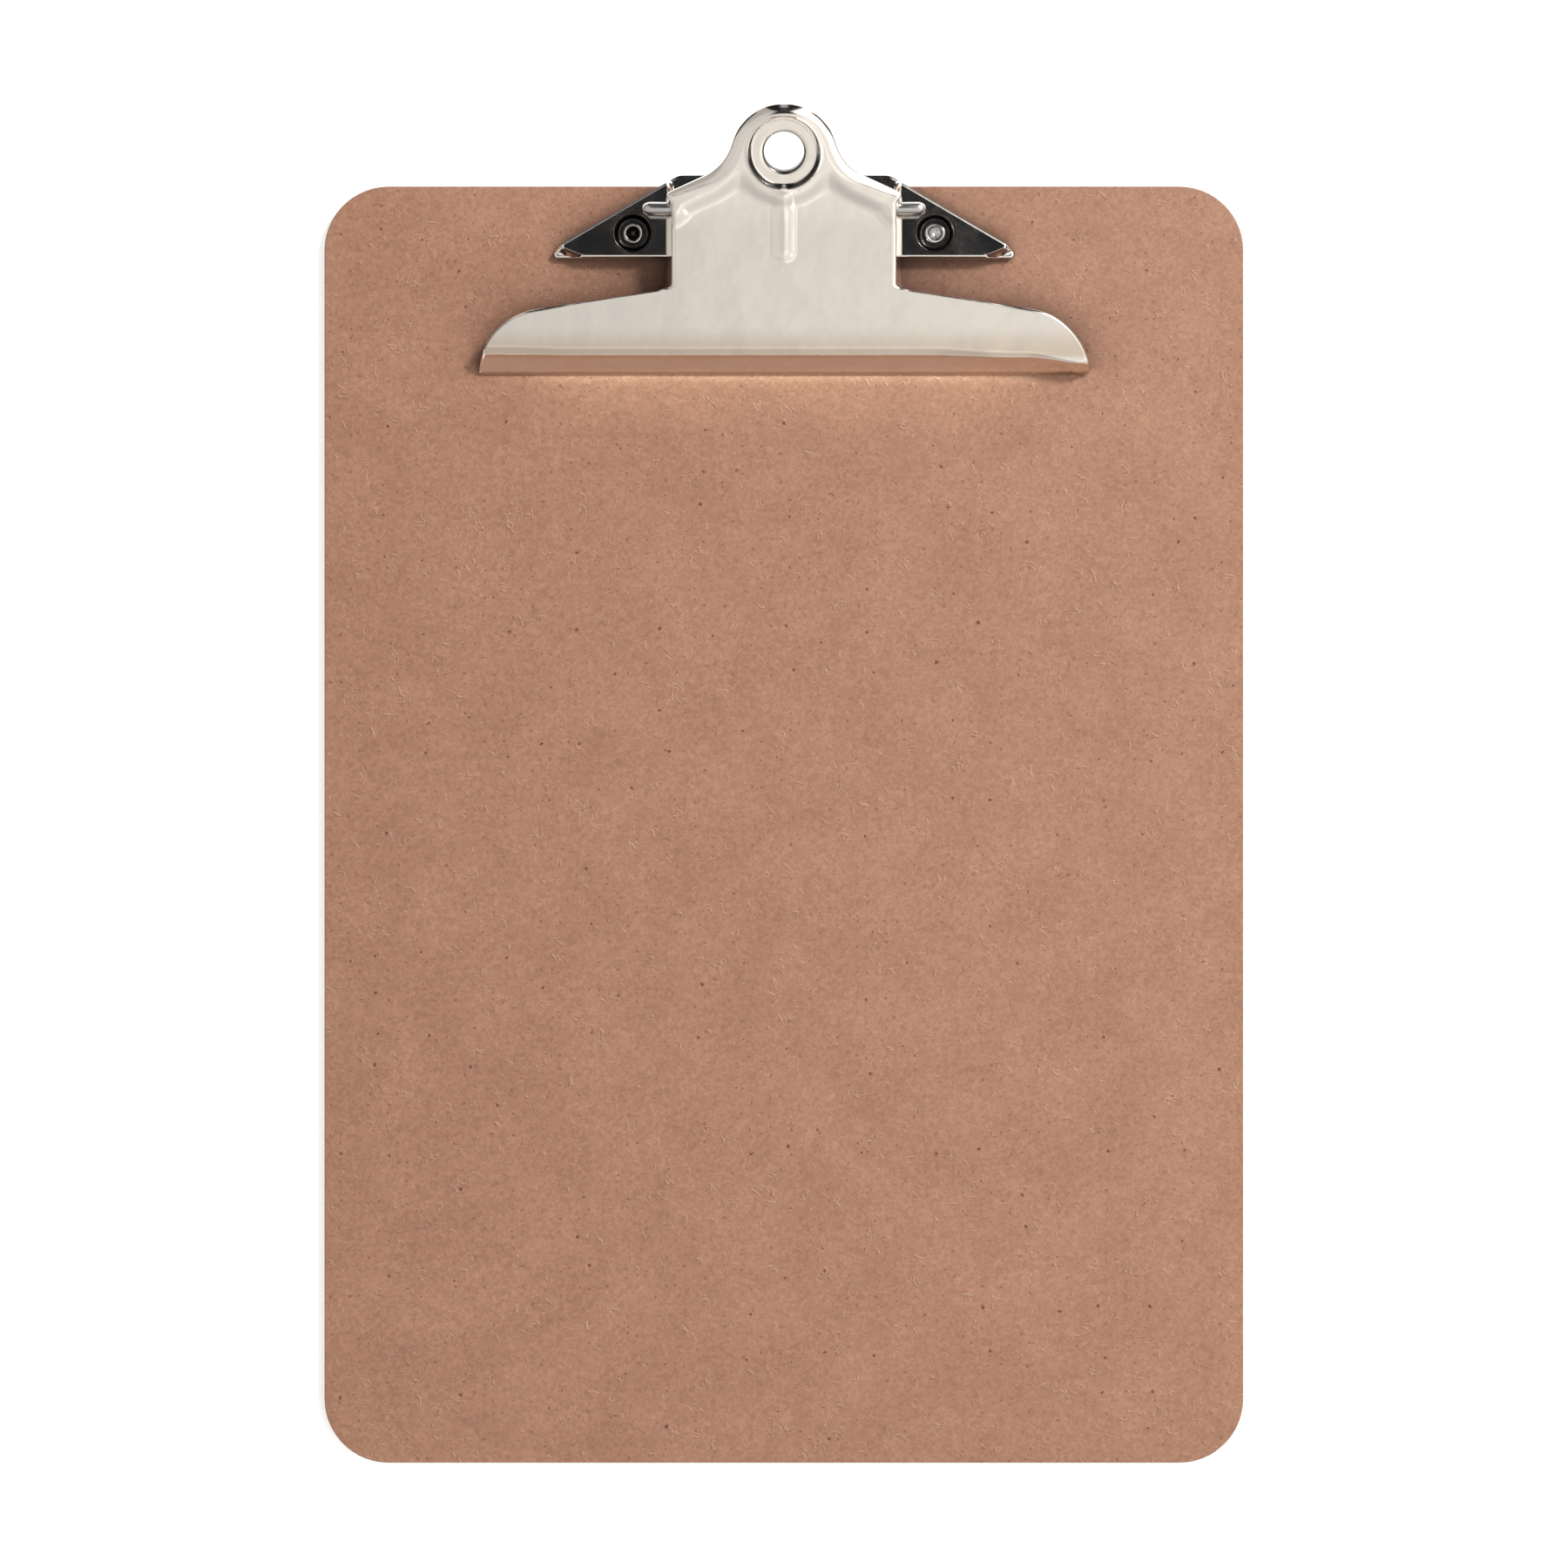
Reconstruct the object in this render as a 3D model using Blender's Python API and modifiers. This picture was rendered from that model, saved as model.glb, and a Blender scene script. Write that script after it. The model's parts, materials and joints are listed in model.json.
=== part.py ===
"""A hardboard clipboard with a sprung butterfly clip, in metres.

The board lies flat with its back on z = 0 and its centre over the origin. +Y points to the clip end.
The clip is modelled round its hinge pin, which runs along X, and the clip_hinge empty carries it there.
"""

import math

import bmesh
import bpy
from mathutils import Matrix, Vector

# Board
BOARD_WIDTH = 0.2286
BOARD_LENGTH = 0.3175
BOARD_THICKNESS = 0.0032
BOARD_CORNER = 0.0159

# Hinge pin: its axis above the board's face and in from the board's top edge
PIN_RADIUS = 0.0015
PIN_HALF_LENGTH = 0.0350
PIN_END_ROUND = 0.0006
PIN_ABOVE_BOARD = 0.0095
PIN_FROM_EDGE = 0.00635
PIN_CLEARANCE = 0.00008

# Lever: one stamping, with its sheet's top face this far above the pin
LEVER_SHEET = 0.0009
LEVER_ABOVE_PIN = 0.0050
LEVER_HALF_WIDTH = 0.0292
JAW_HALF_WIDTH = 0.0759
JAW_REACH = 0.04045
JAW_CREASE_REACH = 0.0352
JAW_CREASE_DROP = 0.0020
JAW_GAP = 0.00015
HEAD_REACH = 0.0244
HEAD_SLOPE = math.radians(19)
RIM_DEPTH = 0.0032
FLANGE_DEPTH = 0.00475
FLANGE_FRONT_REACH = 0.0187
FLANGE_FRONT_DEPTH = 0.0030
FLANGE_FULL_REACH = 0.0120
FLANGE_END = 0.0016
FLANGE_CORNER_RADIUS = 0.0025
JAW_CREASE_RADIUS = 0.0040
JAW_TIP_FLAT = 0.0015
CROWN_RADIUS = 0.080
LOBE_START = 0.0010
LOBE_SET_IN = 0.00004  # keeps the lobe's faces off the flange's

# Hanging hole in the lever's head, with a pressed-in seat and a collar below
HOLE_REACH = 0.0125
HOLE_RADIUS = 0.0049
SEAT_RADIUS = 0.0081
SEAT_DEPTH = 0.0006
COLLAR_WALL = 0.0008
COLLAR_DEPTH = 0.0021

# Base plate: an inverted pan with two wings
BASE_SHEET = 0.0008
BASE_GAP = 0.0003
BASE_HEIGHT = 0.0042
BASE_FRONT_REACH = 0.0118
BASE_REAR_REACH = 0.0088
EAR_OUTER_X = 0.0266
EAR_THICKNESS = 0.0010
EAR_RADIUS = 0.0027
EAR_FOOT = 0.0046
WINDOW_INNER_X = 0.0165

# Rivets and the dimples that they sit in
RIVET_X = 0.0375
RIVET_REACH = 0.0055
RIVET_SHANK = 0.0016
RIVET_BORE = 0.0011
RIVET_ROLL = 0.0026
RIVET_ROLL_HEIGHT = 0.0010
RIVET_HEAD = 0.0040
RIVET_HEAD_THICKNESS = 0.0009
RIVET_HEAD_EASE = 0.0003
RIVET_BORE_DEPTH = 0.0012
RIVET_GAP = 0.0001
DIMPLE_TOP = 0.0055
DIMPLE_FLOOR = 0.0038

# Torsion springs on the pin
WIRE_RADIUS = 0.00075
COIL_RADIUS = 0.00265
COIL_PITCH = 0.00172
COIL_START_X = 0.0180
COIL_WHOLE_TURNS = 4
BASE_LEG_REACH = 0.0081
LEVER_LEG_REACH = 0.0110
WIRE_GAP = 0.00015

TALL = 0.03  # how far a cutter runs past what it cuts
PAST_EDGE = 0.004  # the same, where a cutter has to end sooner
ARC_STEP = math.radians(12)
FINE_STEP = math.radians(7.5)

# Colour, roughness and metallic value
HARDBOARD = ((0.44, 0.23, 0.15), 0.62, 0.0)
NICKEL_PLATE = ((0.78, 0.76, 0.73), 0.14, 1.0)
PIN_STEEL = ((0.74, 0.73, 0.71), 0.18, 1.0)
RIVET_STEEL = ((0.70, 0.69, 0.67), 0.24, 1.0)
SPRING_STEEL = ((0.46, 0.45, 0.44), 0.32, 1.0)

PIN_Y = BOARD_LENGTH / 2 - PIN_FROM_EDGE
PAST_HEAD = HEAD_REACH + PAST_EDGE / 2
PIN_Z = BOARD_THICKNESS + PIN_ABOVE_BOARD
BOARD_FACE = -PIN_ABOVE_BOARD
BASE_TOP = BOARD_FACE + BASE_HEIGHT
BASE_BOTTOM = BOARD_FACE + BASE_GAP
DIMPLE_TOP_FACE = BASE_BOTTOM + BASE_SHEET


# ---- scene, materials and collections ----

def clear_scene():
    for obj in list(bpy.data.objects):
        bpy.data.objects.remove(obj)


def new_collection(name):
    collection = bpy.data.collections.new(name)
    bpy.context.scene.collection.children.link(collection)
    return collection


def new_material(name, finish):
    colour, roughness, metallic = finish
    material = bpy.data.materials.new(name)
    material.use_nodes = True
    shader = material.node_tree.nodes["Principled BSDF"]
    shader.inputs["Base Color"].default_value = (*colour, 1)
    shader.inputs["Roughness"].default_value = roughness
    shader.inputs["Metallic"].default_value = metallic
    material.diffuse_color = (*colour, 1)
    return material


# ---- outlines: lists of corners (x, y, radius), anticlockwise ----

def rounded(corners, step=ARC_STEP):
    """The closed outline's points, with each corner replaced by an arc of its radius."""
    points = []
    for index, (x, y, radius) in enumerate(corners):
        corner = Vector((x, y))
        before = (Vector(corners[index - 1][:2]) - corner).normalized()
        after = (Vector(corners[(index + 1) % len(corners)][:2]) - corner).normalized()
        if radius <= 0:
            points.append(corner)
            continue
        half = before.angle(after) / 2
        centre = corner + (before + after).normalized() * radius / math.sin(half)
        start = corner + before * radius / math.tan(half) - centre
        turn = math.pi - 2 * half
        if before.x * after.y - before.y * after.x > 0:
            turn = -turn
        count = max(1, math.ceil(abs(turn) / step))
        for k in range(count + 1):
            points.append(centre + Matrix.Rotation(turn * k / count, 2) @ start)
    return [(p.x, p.y) for p in points]


def inset(corners, distance):
    """The same outline moved inwards, its round corners kept concentric."""
    moved = []
    for index, (x, y, radius) in enumerate(corners):
        corner = Vector((x, y))
        along_in = (corner - Vector(corners[index - 1][:2])).normalized()
        along_out = (Vector(corners[(index + 1) % len(corners)][:2]) - corner).normalized()
        left_in = Vector((-along_in.y, along_in.x))
        left_out = Vector((-along_out.y, along_out.x))
        shift = (left_in + left_out) * distance / (1 + left_in.dot(left_out))
        outward_turn = along_in.x * along_out.y - along_in.y * along_out.x > 0
        new_radius = radius - distance if outward_turn else radius + distance
        moved.append((x + shift.x, y + shift.y, max(0.0, new_radius) if radius else 0.0))
    return moved


def mirrored(half):
    """A whole outline from its right half, whose corners run anticlockwise from the bottom."""
    return half + [(-x, y, radius) for x, y, radius in reversed(half)]


# ---- solids ----

PLANES = {
    "XY": Matrix.Identity(3),
    "YZ": Matrix(((0, 0, 1), (1, 0, 0), (0, 1, 0))),
}


def add_object(name, data, parent=None):
    obj = bpy.data.objects.new(name, data)
    bpy.context.scene.collection.objects.link(obj)
    obj.parent = parent
    return obj


def curve_to_mesh(guide):
    """The curve's evaluated shape as a mesh object in the same place, with its caps welded on."""
    bpy.context.view_layer.update()
    evaluated = guide.evaluated_get(bpy.context.evaluated_depsgraph_get())
    mesh = bpy.data.meshes.new_from_object(evaluated)
    shape = bmesh.new()
    shape.from_mesh(mesh)
    bmesh.ops.remove_doubles(shape, verts=shape.verts, dist=1e-7)
    bmesh.ops.recalc_face_normals(shape, faces=shape.faces)
    shape.to_mesh(mesh)
    shape.free()
    name = guide.name
    guide.name = name + "_curve"
    made = add_object(name, mesh)
    made.matrix_world = guide.matrix_world.copy()
    bpy.data.objects.remove(guide)
    return made


def prism(name, outline, low, high, plane="XY"):
    """A closed outline in a plane, extruded along the plane's normal from low to high."""
    curve = bpy.data.curves.new(name, "CURVE")
    curve.dimensions = "2D"
    curve.fill_mode = "BOTH"
    curve.extrude = (high - low) / 2
    spline = curve.splines.new("POLY")
    spline.points.add(len(outline) - 1)
    for point, (x, y) in zip(spline.points, outline):
        point.co = (x, y, 0, 1)
    spline.use_cyclic_u = True
    guide = add_object(name, curve)
    turn = PLANES[plane].to_4x4()
    guide.matrix_world = turn @ Matrix.Translation((0, 0, (low + high) / 2))
    return curve_to_mesh(guide)


def cone(name, radius_low, radius_high, low, high, sides=40):
    """A cone, or a cylinder, standing on the Z axis."""
    shape = bmesh.new()
    bmesh.ops.create_cone(
        shape, cap_ends=True, segments=sides, radius1=radius_low, radius2=radius_high, depth=high - low
    )
    mesh = bpy.data.meshes.new(name)
    shape.to_mesh(mesh)
    shape.free()
    obj = add_object(name, mesh)
    obj.location.z = (low + high) / 2
    return obj


def box(name, low, high):
    shape = bmesh.new()
    bmesh.ops.create_cube(shape, size=1)
    size = Vector(high) - Vector(low)
    bmesh.ops.scale(shape, vec=size, verts=shape.verts)
    mesh = bpy.data.meshes.new(name)
    shape.to_mesh(mesh)
    shape.free()
    obj = add_object(name, mesh)
    obj.location = (Vector(high) + Vector(low)) / 2
    return obj


def moved(obj, x=0.0, y=0.0, z=0.0):
    obj.location += Vector((x, y, z))
    return obj


def carry(obj, parent):
    """The object's place is then its place relative to its parent."""
    obj.parent = parent
    return obj


def boolean(target, operation, other):
    """Adds a Boolean to target, and makes the other object a hidden helper."""
    modifier = target.modifiers.new(other.name, "BOOLEAN")
    modifier.operation = operation
    modifier.object = other
    modifier.solver = "EXACT"
    make_helper(other)
    return target


def make_helper(obj):
    obj.hide_render = True
    obj.display_type = "WIRE"
    for collection in list(obj.users_collection):
        collection.objects.unlink(obj)
    cutters.objects.link(obj)


def make_part(obj, material):
    """Puts a finished part in the clipboard's collection, smooth where it is round."""
    for collection in list(obj.users_collection):
        collection.objects.unlink(obj)
    clipboard.objects.link(obj)
    obj.data.materials.clear()
    obj.data.materials.append(material)
    if obj.type == "MESH":
        obj.data.shade_smooth()
        obj.data.set_sharp_from_angle(angle=math.radians(35))
    return obj


def cut_round_hole(target, radius, x, y, parent, sides=40):
    """Drills right through along Z."""
    hole = moved(cone(f"{target.name}_hole", radius, radius, -TALL, TALL, sides), x, y)
    boolean(target, "DIFFERENCE", carry(hole, parent))


def pin_hole(target, parent):
    """Cuts the pin's running hole through a part, along X."""
    radius = PIN_RADIUS + PIN_CLEARANCE
    hole = cone(f"{target.name}_pin_hole", radius, radius, -PIN_HALF_LENGTH, PIN_HALF_LENGTH, 48)
    hole.rotation_euler = (0, math.pi / 2, 0)
    boolean(target, "DIFFERENCE", carry(hole, parent))


# ---- board ----

def make_board():
    """A round-cornered panel with two rivet holes, counterbored from the back."""
    half_width = BOARD_WIDTH / 2
    half_length = BOARD_LENGTH / 2
    corners = [
        (half_width, -half_length, BOARD_CORNER),
        (half_width, half_length, BOARD_CORNER),
        (-half_width, half_length, BOARD_CORNER),
        (-half_width, -half_length, BOARD_CORNER),
    ]
    board = prism("board", rounded(corners, math.radians(6)), 0, BOARD_THICKNESS)
    rivet_y = PIN_Y - RIVET_REACH
    head_radius = RIVET_HEAD + RIVET_GAP
    head_depth = RIVET_HEAD_THICKNESS + 2 * RIVET_GAP
    for side in (-1, 1):
        cut_round_hole(board, RIVET_SHANK + RIVET_GAP, side * RIVET_X, rivet_y, None)
        counterbore = cone("counterbore", head_radius, head_radius, -TALL, head_depth)
        boolean(board, "DIFFERENCE", moved(counterbore, side * RIVET_X, rivet_y))
    make_part(board, hardboard)


# ---- base plate ----

def base_outline():
    """The bow-tie outline, from the front edge round the wings' tips to the rear edge."""
    return mirrored([
        (0.0568, -BASE_FRONT_REACH, 0.0012),
        (0.0574, -0.0103, 0.0010),
        (0.0550, -0.0080, 0.0020),
        (0.0262, BASE_REAR_REACH, 0.0040),
    ])


def make_base_plate():
    """A pan turned upside down: a flat top with its edges turned down to the board."""
    outline = base_outline()
    base = prism("base_plate", rounded(outline), BASE_BOTTOM, BASE_TOP)
    hollow = prism("base_hollow", rounded(inset(outline, BASE_SHEET)), -TALL, BASE_TOP - BASE_SHEET)
    carry(base, clip_hinge)
    boolean(base, "DIFFERENCE", carry(hollow, clip_hinge))
    for side in (-1, 1):
        add_ear(base, side)
        add_dimple(base, side)
    pin_hole(base, clip_hinge)
    make_part(base, nickel_plate)


def add_ear(base, side):
    """An ear that holds the pin, folded up out of the pan's top, which leaves a window beside it."""
    inner_x = EAR_OUTER_X - EAR_THICKNESS
    spans = sorted((side * inner_x, side * EAR_OUTER_X))
    profile = [
        (-EAR_FOOT, BASE_TOP - BASE_SHEET / 2, 0),
        (EAR_FOOT, BASE_TOP - BASE_SHEET / 2, 0),
        (EAR_RADIUS, EAR_RADIUS, EAR_RADIUS),
        (-EAR_RADIUS, EAR_RADIUS, EAR_RADIUS),
    ]
    ear = prism("ear", rounded(profile, FINE_STEP), *spans, plane="YZ")
    boolean(base, "UNION", carry(ear, clip_hinge))
    window_x = sorted((side * WINDOW_INNER_X, side * inner_x))
    window = box(
        "window",
        (window_x[0], -EAR_FOOT, BASE_TOP - TALL / 2),
        (window_x[1], EAR_FOOT, BASE_TOP + BASE_SHEET),
    )
    boolean(base, "DIFFERENCE", carry(window, clip_hinge))


def add_dimple(base, side):
    """A round dimple that brings the wing's top down to the board, with a hole in its floor."""
    place = {"x": side * RIVET_X, "y": -RIVET_REACH}
    outer_floor = DIMPLE_FLOOR + BASE_SHEET
    outer_top = DIMPLE_TOP + BASE_SHEET
    cup = cone("dimple_cup", outer_floor, outer_top, BASE_BOTTOM, BASE_TOP - BASE_SHEET / 2)
    boolean(base, "UNION", carry(moved(cup, **place), clip_hinge))
    slope = (DIMPLE_TOP - DIMPLE_FLOOR) / (BASE_TOP - DIMPLE_TOP_FACE)
    bowl_top = BASE_TOP + BASE_SHEET / 2
    bowl_radius = DIMPLE_TOP + slope * (bowl_top - BASE_TOP)
    bowl = cone("dimple_bowl", DIMPLE_FLOOR, bowl_radius, DIMPLE_TOP_FACE, bowl_top)
    boolean(base, "DIFFERENCE", carry(moved(bowl, **place), clip_hinge))
    cut_round_hole(base, RIVET_SHANK + RIVET_GAP, place["x"], place["y"], clip_hinge)


# ---- lever ----

def lever_outline():
    """The right half of the lever seen from above, from the jaw's edge to the head."""
    return [
        (JAW_HALF_WIDTH, -JAW_REACH, 0.0004),
        (0.0739, -0.0269, 0.0172),
        (LEVER_HALF_WIDTH, -0.0202, 0.0020),
        (LEVER_HALF_WIDTH, 0.0030, 0.0024),
        (0.0146, 0.0096, 0.0128),
        (0.0097, HEAD_REACH, 0.0130),
    ]


def head_height(y):
    """Height of the sheet's top face at a reach y on the head, above the pin."""
    return LEVER_ABOVE_PIN + y * math.tan(HEAD_SLOPE)


def lever_top_line():
    """The top face from the side, as corners (y, z, radius), from the head to the jaw's edge."""
    return [
        (PAST_HEAD, head_height(PAST_HEAD), 0),
        (0.0, LEVER_ABOVE_PIN, CROWN_RADIUS),
        (-JAW_CREASE_REACH, -JAW_CREASE_DROP, JAW_CREASE_RADIUS),
        (-JAW_REACH, BOARD_FACE + JAW_GAP, 0),
    ]


def make_lever():
    """A bent sheet trimmed to its outline, with edges turned down at its sides and its head."""
    tip_y, tip_z, _ = lever_top_line()[-1]
    beyond = -JAW_REACH - PAST_EDGE
    flange_line = [
        (tip_y + JAW_TIP_FLAT, tip_z, 0),
        (-FLANGE_FRONT_REACH - LEVER_SHEET, tip_z, 0),
        (-FLANGE_FRONT_REACH - LEVER_SHEET, -FLANGE_FRONT_DEPTH, 0),
        (-FLANGE_FULL_REACH, -FLANGE_DEPTH, FLANGE_CORNER_RADIUS),
        (FLANGE_END, -FLANGE_DEPTH, 0),
        (FLANGE_END, head_height(FLANGE_END) - RIM_DEPTH, 0),
        (PAST_HEAD, head_height(PAST_HEAD) - RIM_DEPTH, 0),
    ]
    side = rounded(lever_top_line() + flange_line)
    outline = mirrored(lever_outline())
    lever = prism("clip_lever", rounded(outline), -TALL, TALL)
    carry(lever, clip_hinge)
    wide = JAW_HALF_WIDTH + PAST_EDGE
    blank = prism("lever_side", side, -wide, wide, "YZ")
    boolean(lever, "INTERSECT", carry(blank, clip_hinge))

    under_line = inset(
        lever_top_line() + [(beyond, -TALL, 0), (PAST_HEAD, -TALL, 0)], LEVER_SHEET
    )
    far = PAST_HEAD + PAST_EDGE
    under = [
        (far, head_height(far) - LEVER_SHEET / math.cos(HEAD_SLOPE), 0),
        *under_line[1:3],
        (beyond, under_line[2][1] - (under_line[2][0] - beyond) * jaw_slope(), 0),
        (beyond, -TALL, 0),
        (far, -TALL, 0),
    ]
    body = inset(outline, LEVER_SHEET)[2:10]
    body[0] = (body[0][0], -FLANGE_FRONT_REACH, 0)
    body[-1] = (body[-1][0], -FLANGE_FRONT_REACH, 0)
    right_front, left_front = (wide, -FLANGE_FRONT_REACH, 0), (-wide, -FLANGE_FRONT_REACH, 0)
    pocket_outline = [(wide, beyond, 0), right_front, *body, left_front, (-wide, beyond, 0)]
    pocket = prism("lever_pocket", rounded(pocket_outline), -2 * TALL, 2 * TALL)
    pocket_side = prism("lever_pocket_side", rounded(under), -2 * wide, 2 * wide, "YZ")
    boolean(carry(pocket, clip_hinge), "INTERSECT", carry(pocket_side, clip_hinge))
    boolean(lever, "DIFFERENCE", pocket)
    for side_sign in (-1, 1):
        add_lobe(lever, side_sign)
    add_hanging_hole(lever)
    pin_hole(lever, clip_hinge)
    make_part(lever, nickel_plate)


def jaw_slope():
    """How steeply the jaw's lip falls, as a tangent."""
    top = lever_top_line()
    return (top[2][1] - top[3][1]) / (top[2][0] - top[3][0])


def add_lobe(lever, side):
    """The round end of a side flange, which reaches back past the shoulder behind the pin."""
    inner = LEVER_HALF_WIDTH - LEVER_SHEET + LOBE_SET_IN
    spans = sorted((side * inner, side * (LEVER_HALF_WIDTH - LOBE_SET_IN)))
    bottom = -FLANGE_DEPTH + LOBE_SET_IN
    profile = [
        (LOBE_START, bottom, 0),
        (0.0026, bottom, 0.0026),
        (0.0069, 0.0004, 0.0026),
        (0.0060, 0.0046, 0.0020),
        (LOBE_START, 0.0046, 0),
    ]
    lobe = prism("lobe", rounded(profile, FINE_STEP), *spans, plane="YZ")
    boolean(lever, "UNION", carry(lobe, clip_hinge))


def add_hanging_hole(lever):
    """The hole in the head: a seat pressed into the top, a hole, and a collar drawn down under it."""
    place = Vector((0, HOLE_REACH, head_height(HOLE_REACH)))

    def tilted(obj):
        obj.matrix_world = (
            Matrix.Translation(place) @ Matrix.Rotation(HEAD_SLOPE, 4, "X") @ Matrix.Translation(obj.location)
        )
        return carry(obj, clip_hinge)

    boss_bottom = -SEAT_DEPTH - LEVER_SHEET
    boss_top = -LEVER_SHEET / 2
    boss_radius = SEAT_RADIUS + LEVER_SHEET
    boss = cone("seat_boss", SEAT_RADIUS + LEVER_SHEET / 2, boss_radius, boss_bottom, boss_top)
    collar_radius = HOLE_RADIUS + COLLAR_WALL
    collar = cone("collar", collar_radius, collar_radius, boss_bottom - COLLAR_DEPTH, boss_top)
    seat = cone("seat", SEAT_RADIUS - SEAT_DEPTH, SEAT_RADIUS + SEAT_DEPTH, -SEAT_DEPTH, SEAT_DEPTH)
    hole = cone("hanging_hole", HOLE_RADIUS, HOLE_RADIUS, -TALL / 3, TALL / 3, 48)
    boolean(lever, "UNION", tilted(boss))
    boolean(lever, "UNION", tilted(collar))
    boolean(lever, "DIFFERENCE", tilted(seat))
    boolean(lever, "DIFFERENCE", tilted(hole))


# ---- pin, rivets and springs ----

def make_pin():
    """A plain rod with rounded ends, which stick out past the lever's flanges."""
    pin = cone("hinge_pin", PIN_RADIUS, PIN_RADIUS, -PIN_HALF_LENGTH, PIN_HALF_LENGTH, 32)
    pin.rotation_euler = (0, math.pi / 2, 0)
    bevel = pin.modifiers.new("end_round", "BEVEL")
    bevel.width = PIN_END_ROUND
    bevel.segments = 3
    bevel.limit_method = "ANGLE"
    bevel.angle_limit = math.radians(60)
    make_part(carry(pin, clip_hinge), pin_steel)


def make_rivet(name, side):
    """A tubular rivet: a flat head in the board's back, a shank and a rolled-over end on the wing."""
    back = -PIN_Z + RIVET_GAP
    head_top = back + RIVET_HEAD_THICKNESS
    roll_bottom = DIMPLE_TOP_FACE + RIVET_GAP
    roll_middle = (RIVET_ROLL + RIVET_BORE) / 2
    roll_half = (RIVET_ROLL - RIVET_BORE) / 2
    bore_bottom = roll_bottom - RIVET_BORE_DEPTH
    roll = [
        (roll_middle + roll_half * math.cos(angle), roll_bottom + RIVET_ROLL_HEIGHT * math.sin(angle))
        for angle in (math.pi * (1 - k / 8) for k in range(9))
    ]
    profile = [(0, bore_bottom), (RIVET_BORE, bore_bottom), *roll]
    profile += [(RIVET_SHANK, roll_bottom), (RIVET_SHANK, head_top)]
    profile += [(RIVET_HEAD - RIVET_HEAD_EASE, head_top), (RIVET_HEAD, head_top - RIVET_HEAD_EASE)]
    profile += [(RIVET_HEAD, back + RIVET_HEAD_EASE), (RIVET_HEAD - RIVET_HEAD_EASE, back), (0, back)]
    mesh = bpy.data.meshes.new(name)
    edges = [(k, k + 1) for k in range(len(profile) - 1)]
    mesh.from_pydata([(x, 0, z) for x, z in profile], edges, [])
    rivet = add_object(name, mesh)
    screw = rivet.modifiers.new("turn", "SCREW")
    screw.steps = screw.render_steps = 32
    screw.use_merge_vertices = True
    screw.merge_threshold = 1e-6
    carry(moved(rivet, side * RIVET_X, -RIVET_REACH), clip_hinge)
    make_part(rivet, rivet_steel)


def tangent_angle(point, upper):
    """Where a straight leg to the point leaves the coil's circle, as an angle from +Y towards +Z."""
    to_point = math.atan2(point[1], point[0])
    spread = math.acos(COIL_RADIUS / math.hypot(*point))
    return to_point + spread if upper else to_point - spread


def make_spring(name, side):
    """A torsion spring round the pin: one leg stands on the base and the other lifts the head."""
    base_end = (BASE_LEG_REACH, BASE_TOP + WIRE_RADIUS + WIRE_GAP)
    lever_under = head_height(LEVER_LEG_REACH) - LEVER_SHEET / math.cos(HEAD_SLOPE)
    lever_end = (LEVER_LEG_REACH, lever_under - (WIRE_RADIUS + WIRE_GAP) / math.cos(HEAD_SLOPE))
    start = tangent_angle(base_end, upper=False)
    end = tangent_angle(lever_end, upper=True) - 2 * math.pi * (COIL_WHOLE_TURNS + 1)
    count = math.ceil((start - end) / (2 * math.pi) * 14)
    points = [(COIL_START_X, *base_end)]
    for k in range(count + 1):
        angle = start + (end - start) * k / count
        x = COIL_START_X - COIL_PITCH * (start - angle) / (2 * math.pi)
        points.append((x, COIL_RADIUS * math.cos(angle), COIL_RADIUS * math.sin(angle)))
    points.append((points[-1][0], *lever_end))
    curve = bpy.data.curves.new(name, "CURVE")
    curve.dimensions = "3D"
    curve.bevel_depth = WIRE_RADIUS
    curve.bevel_resolution = 2
    curve.use_fill_caps = True
    spline = curve.splines.new("POLY")
    spline.points.add(len(points) - 1)
    for point, (x, y, z) in zip(spline.points, points):
        point.co = (side * x, y, z, 1)
    make_part(add_object(name, curve, clip_hinge), spring_steel)


clear_scene()
clipboard = new_collection("clipboard")
cutters = new_collection("cutters")
hardboard = new_material("hardboard", HARDBOARD)
nickel_plate = new_material("nickel_plate", NICKEL_PLATE)
pin_steel = new_material("pin_steel", PIN_STEEL)
rivet_steel = new_material("rivet_steel", RIVET_STEEL)
spring_steel = new_material("spring_steel", SPRING_STEEL)

clip_hinge = add_object("clip_hinge", None)
clip_hinge.location = (0, PIN_Y, PIN_Z)

make_board()
make_base_plate()
make_lever()
make_pin()
for side_name, side_sign in (("left", -1), ("right", 1)):
    make_rivet(f"rivet_{side_name}", side_sign)
    make_spring(f"torsion_spring_{side_name}", side_sign)
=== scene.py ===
"""A hardboard clipboard with a sprung butterfly clip: the fine surfaces, materials, floor, lights and camera.

Everything is in metres in the frame's own axes: +Y runs to the clip end and the board's back lies on z = 0.
The clip's pieces are built round the hinge pin, in a local frame whose origin is the pin's middle.
"""

import json
import math
from contextlib import contextmanager

import bmesh
import bpy
import numpy as np
from mathutils import Matrix, Vector
from mathutils.geometry import delaunay_2d_cdt


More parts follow.
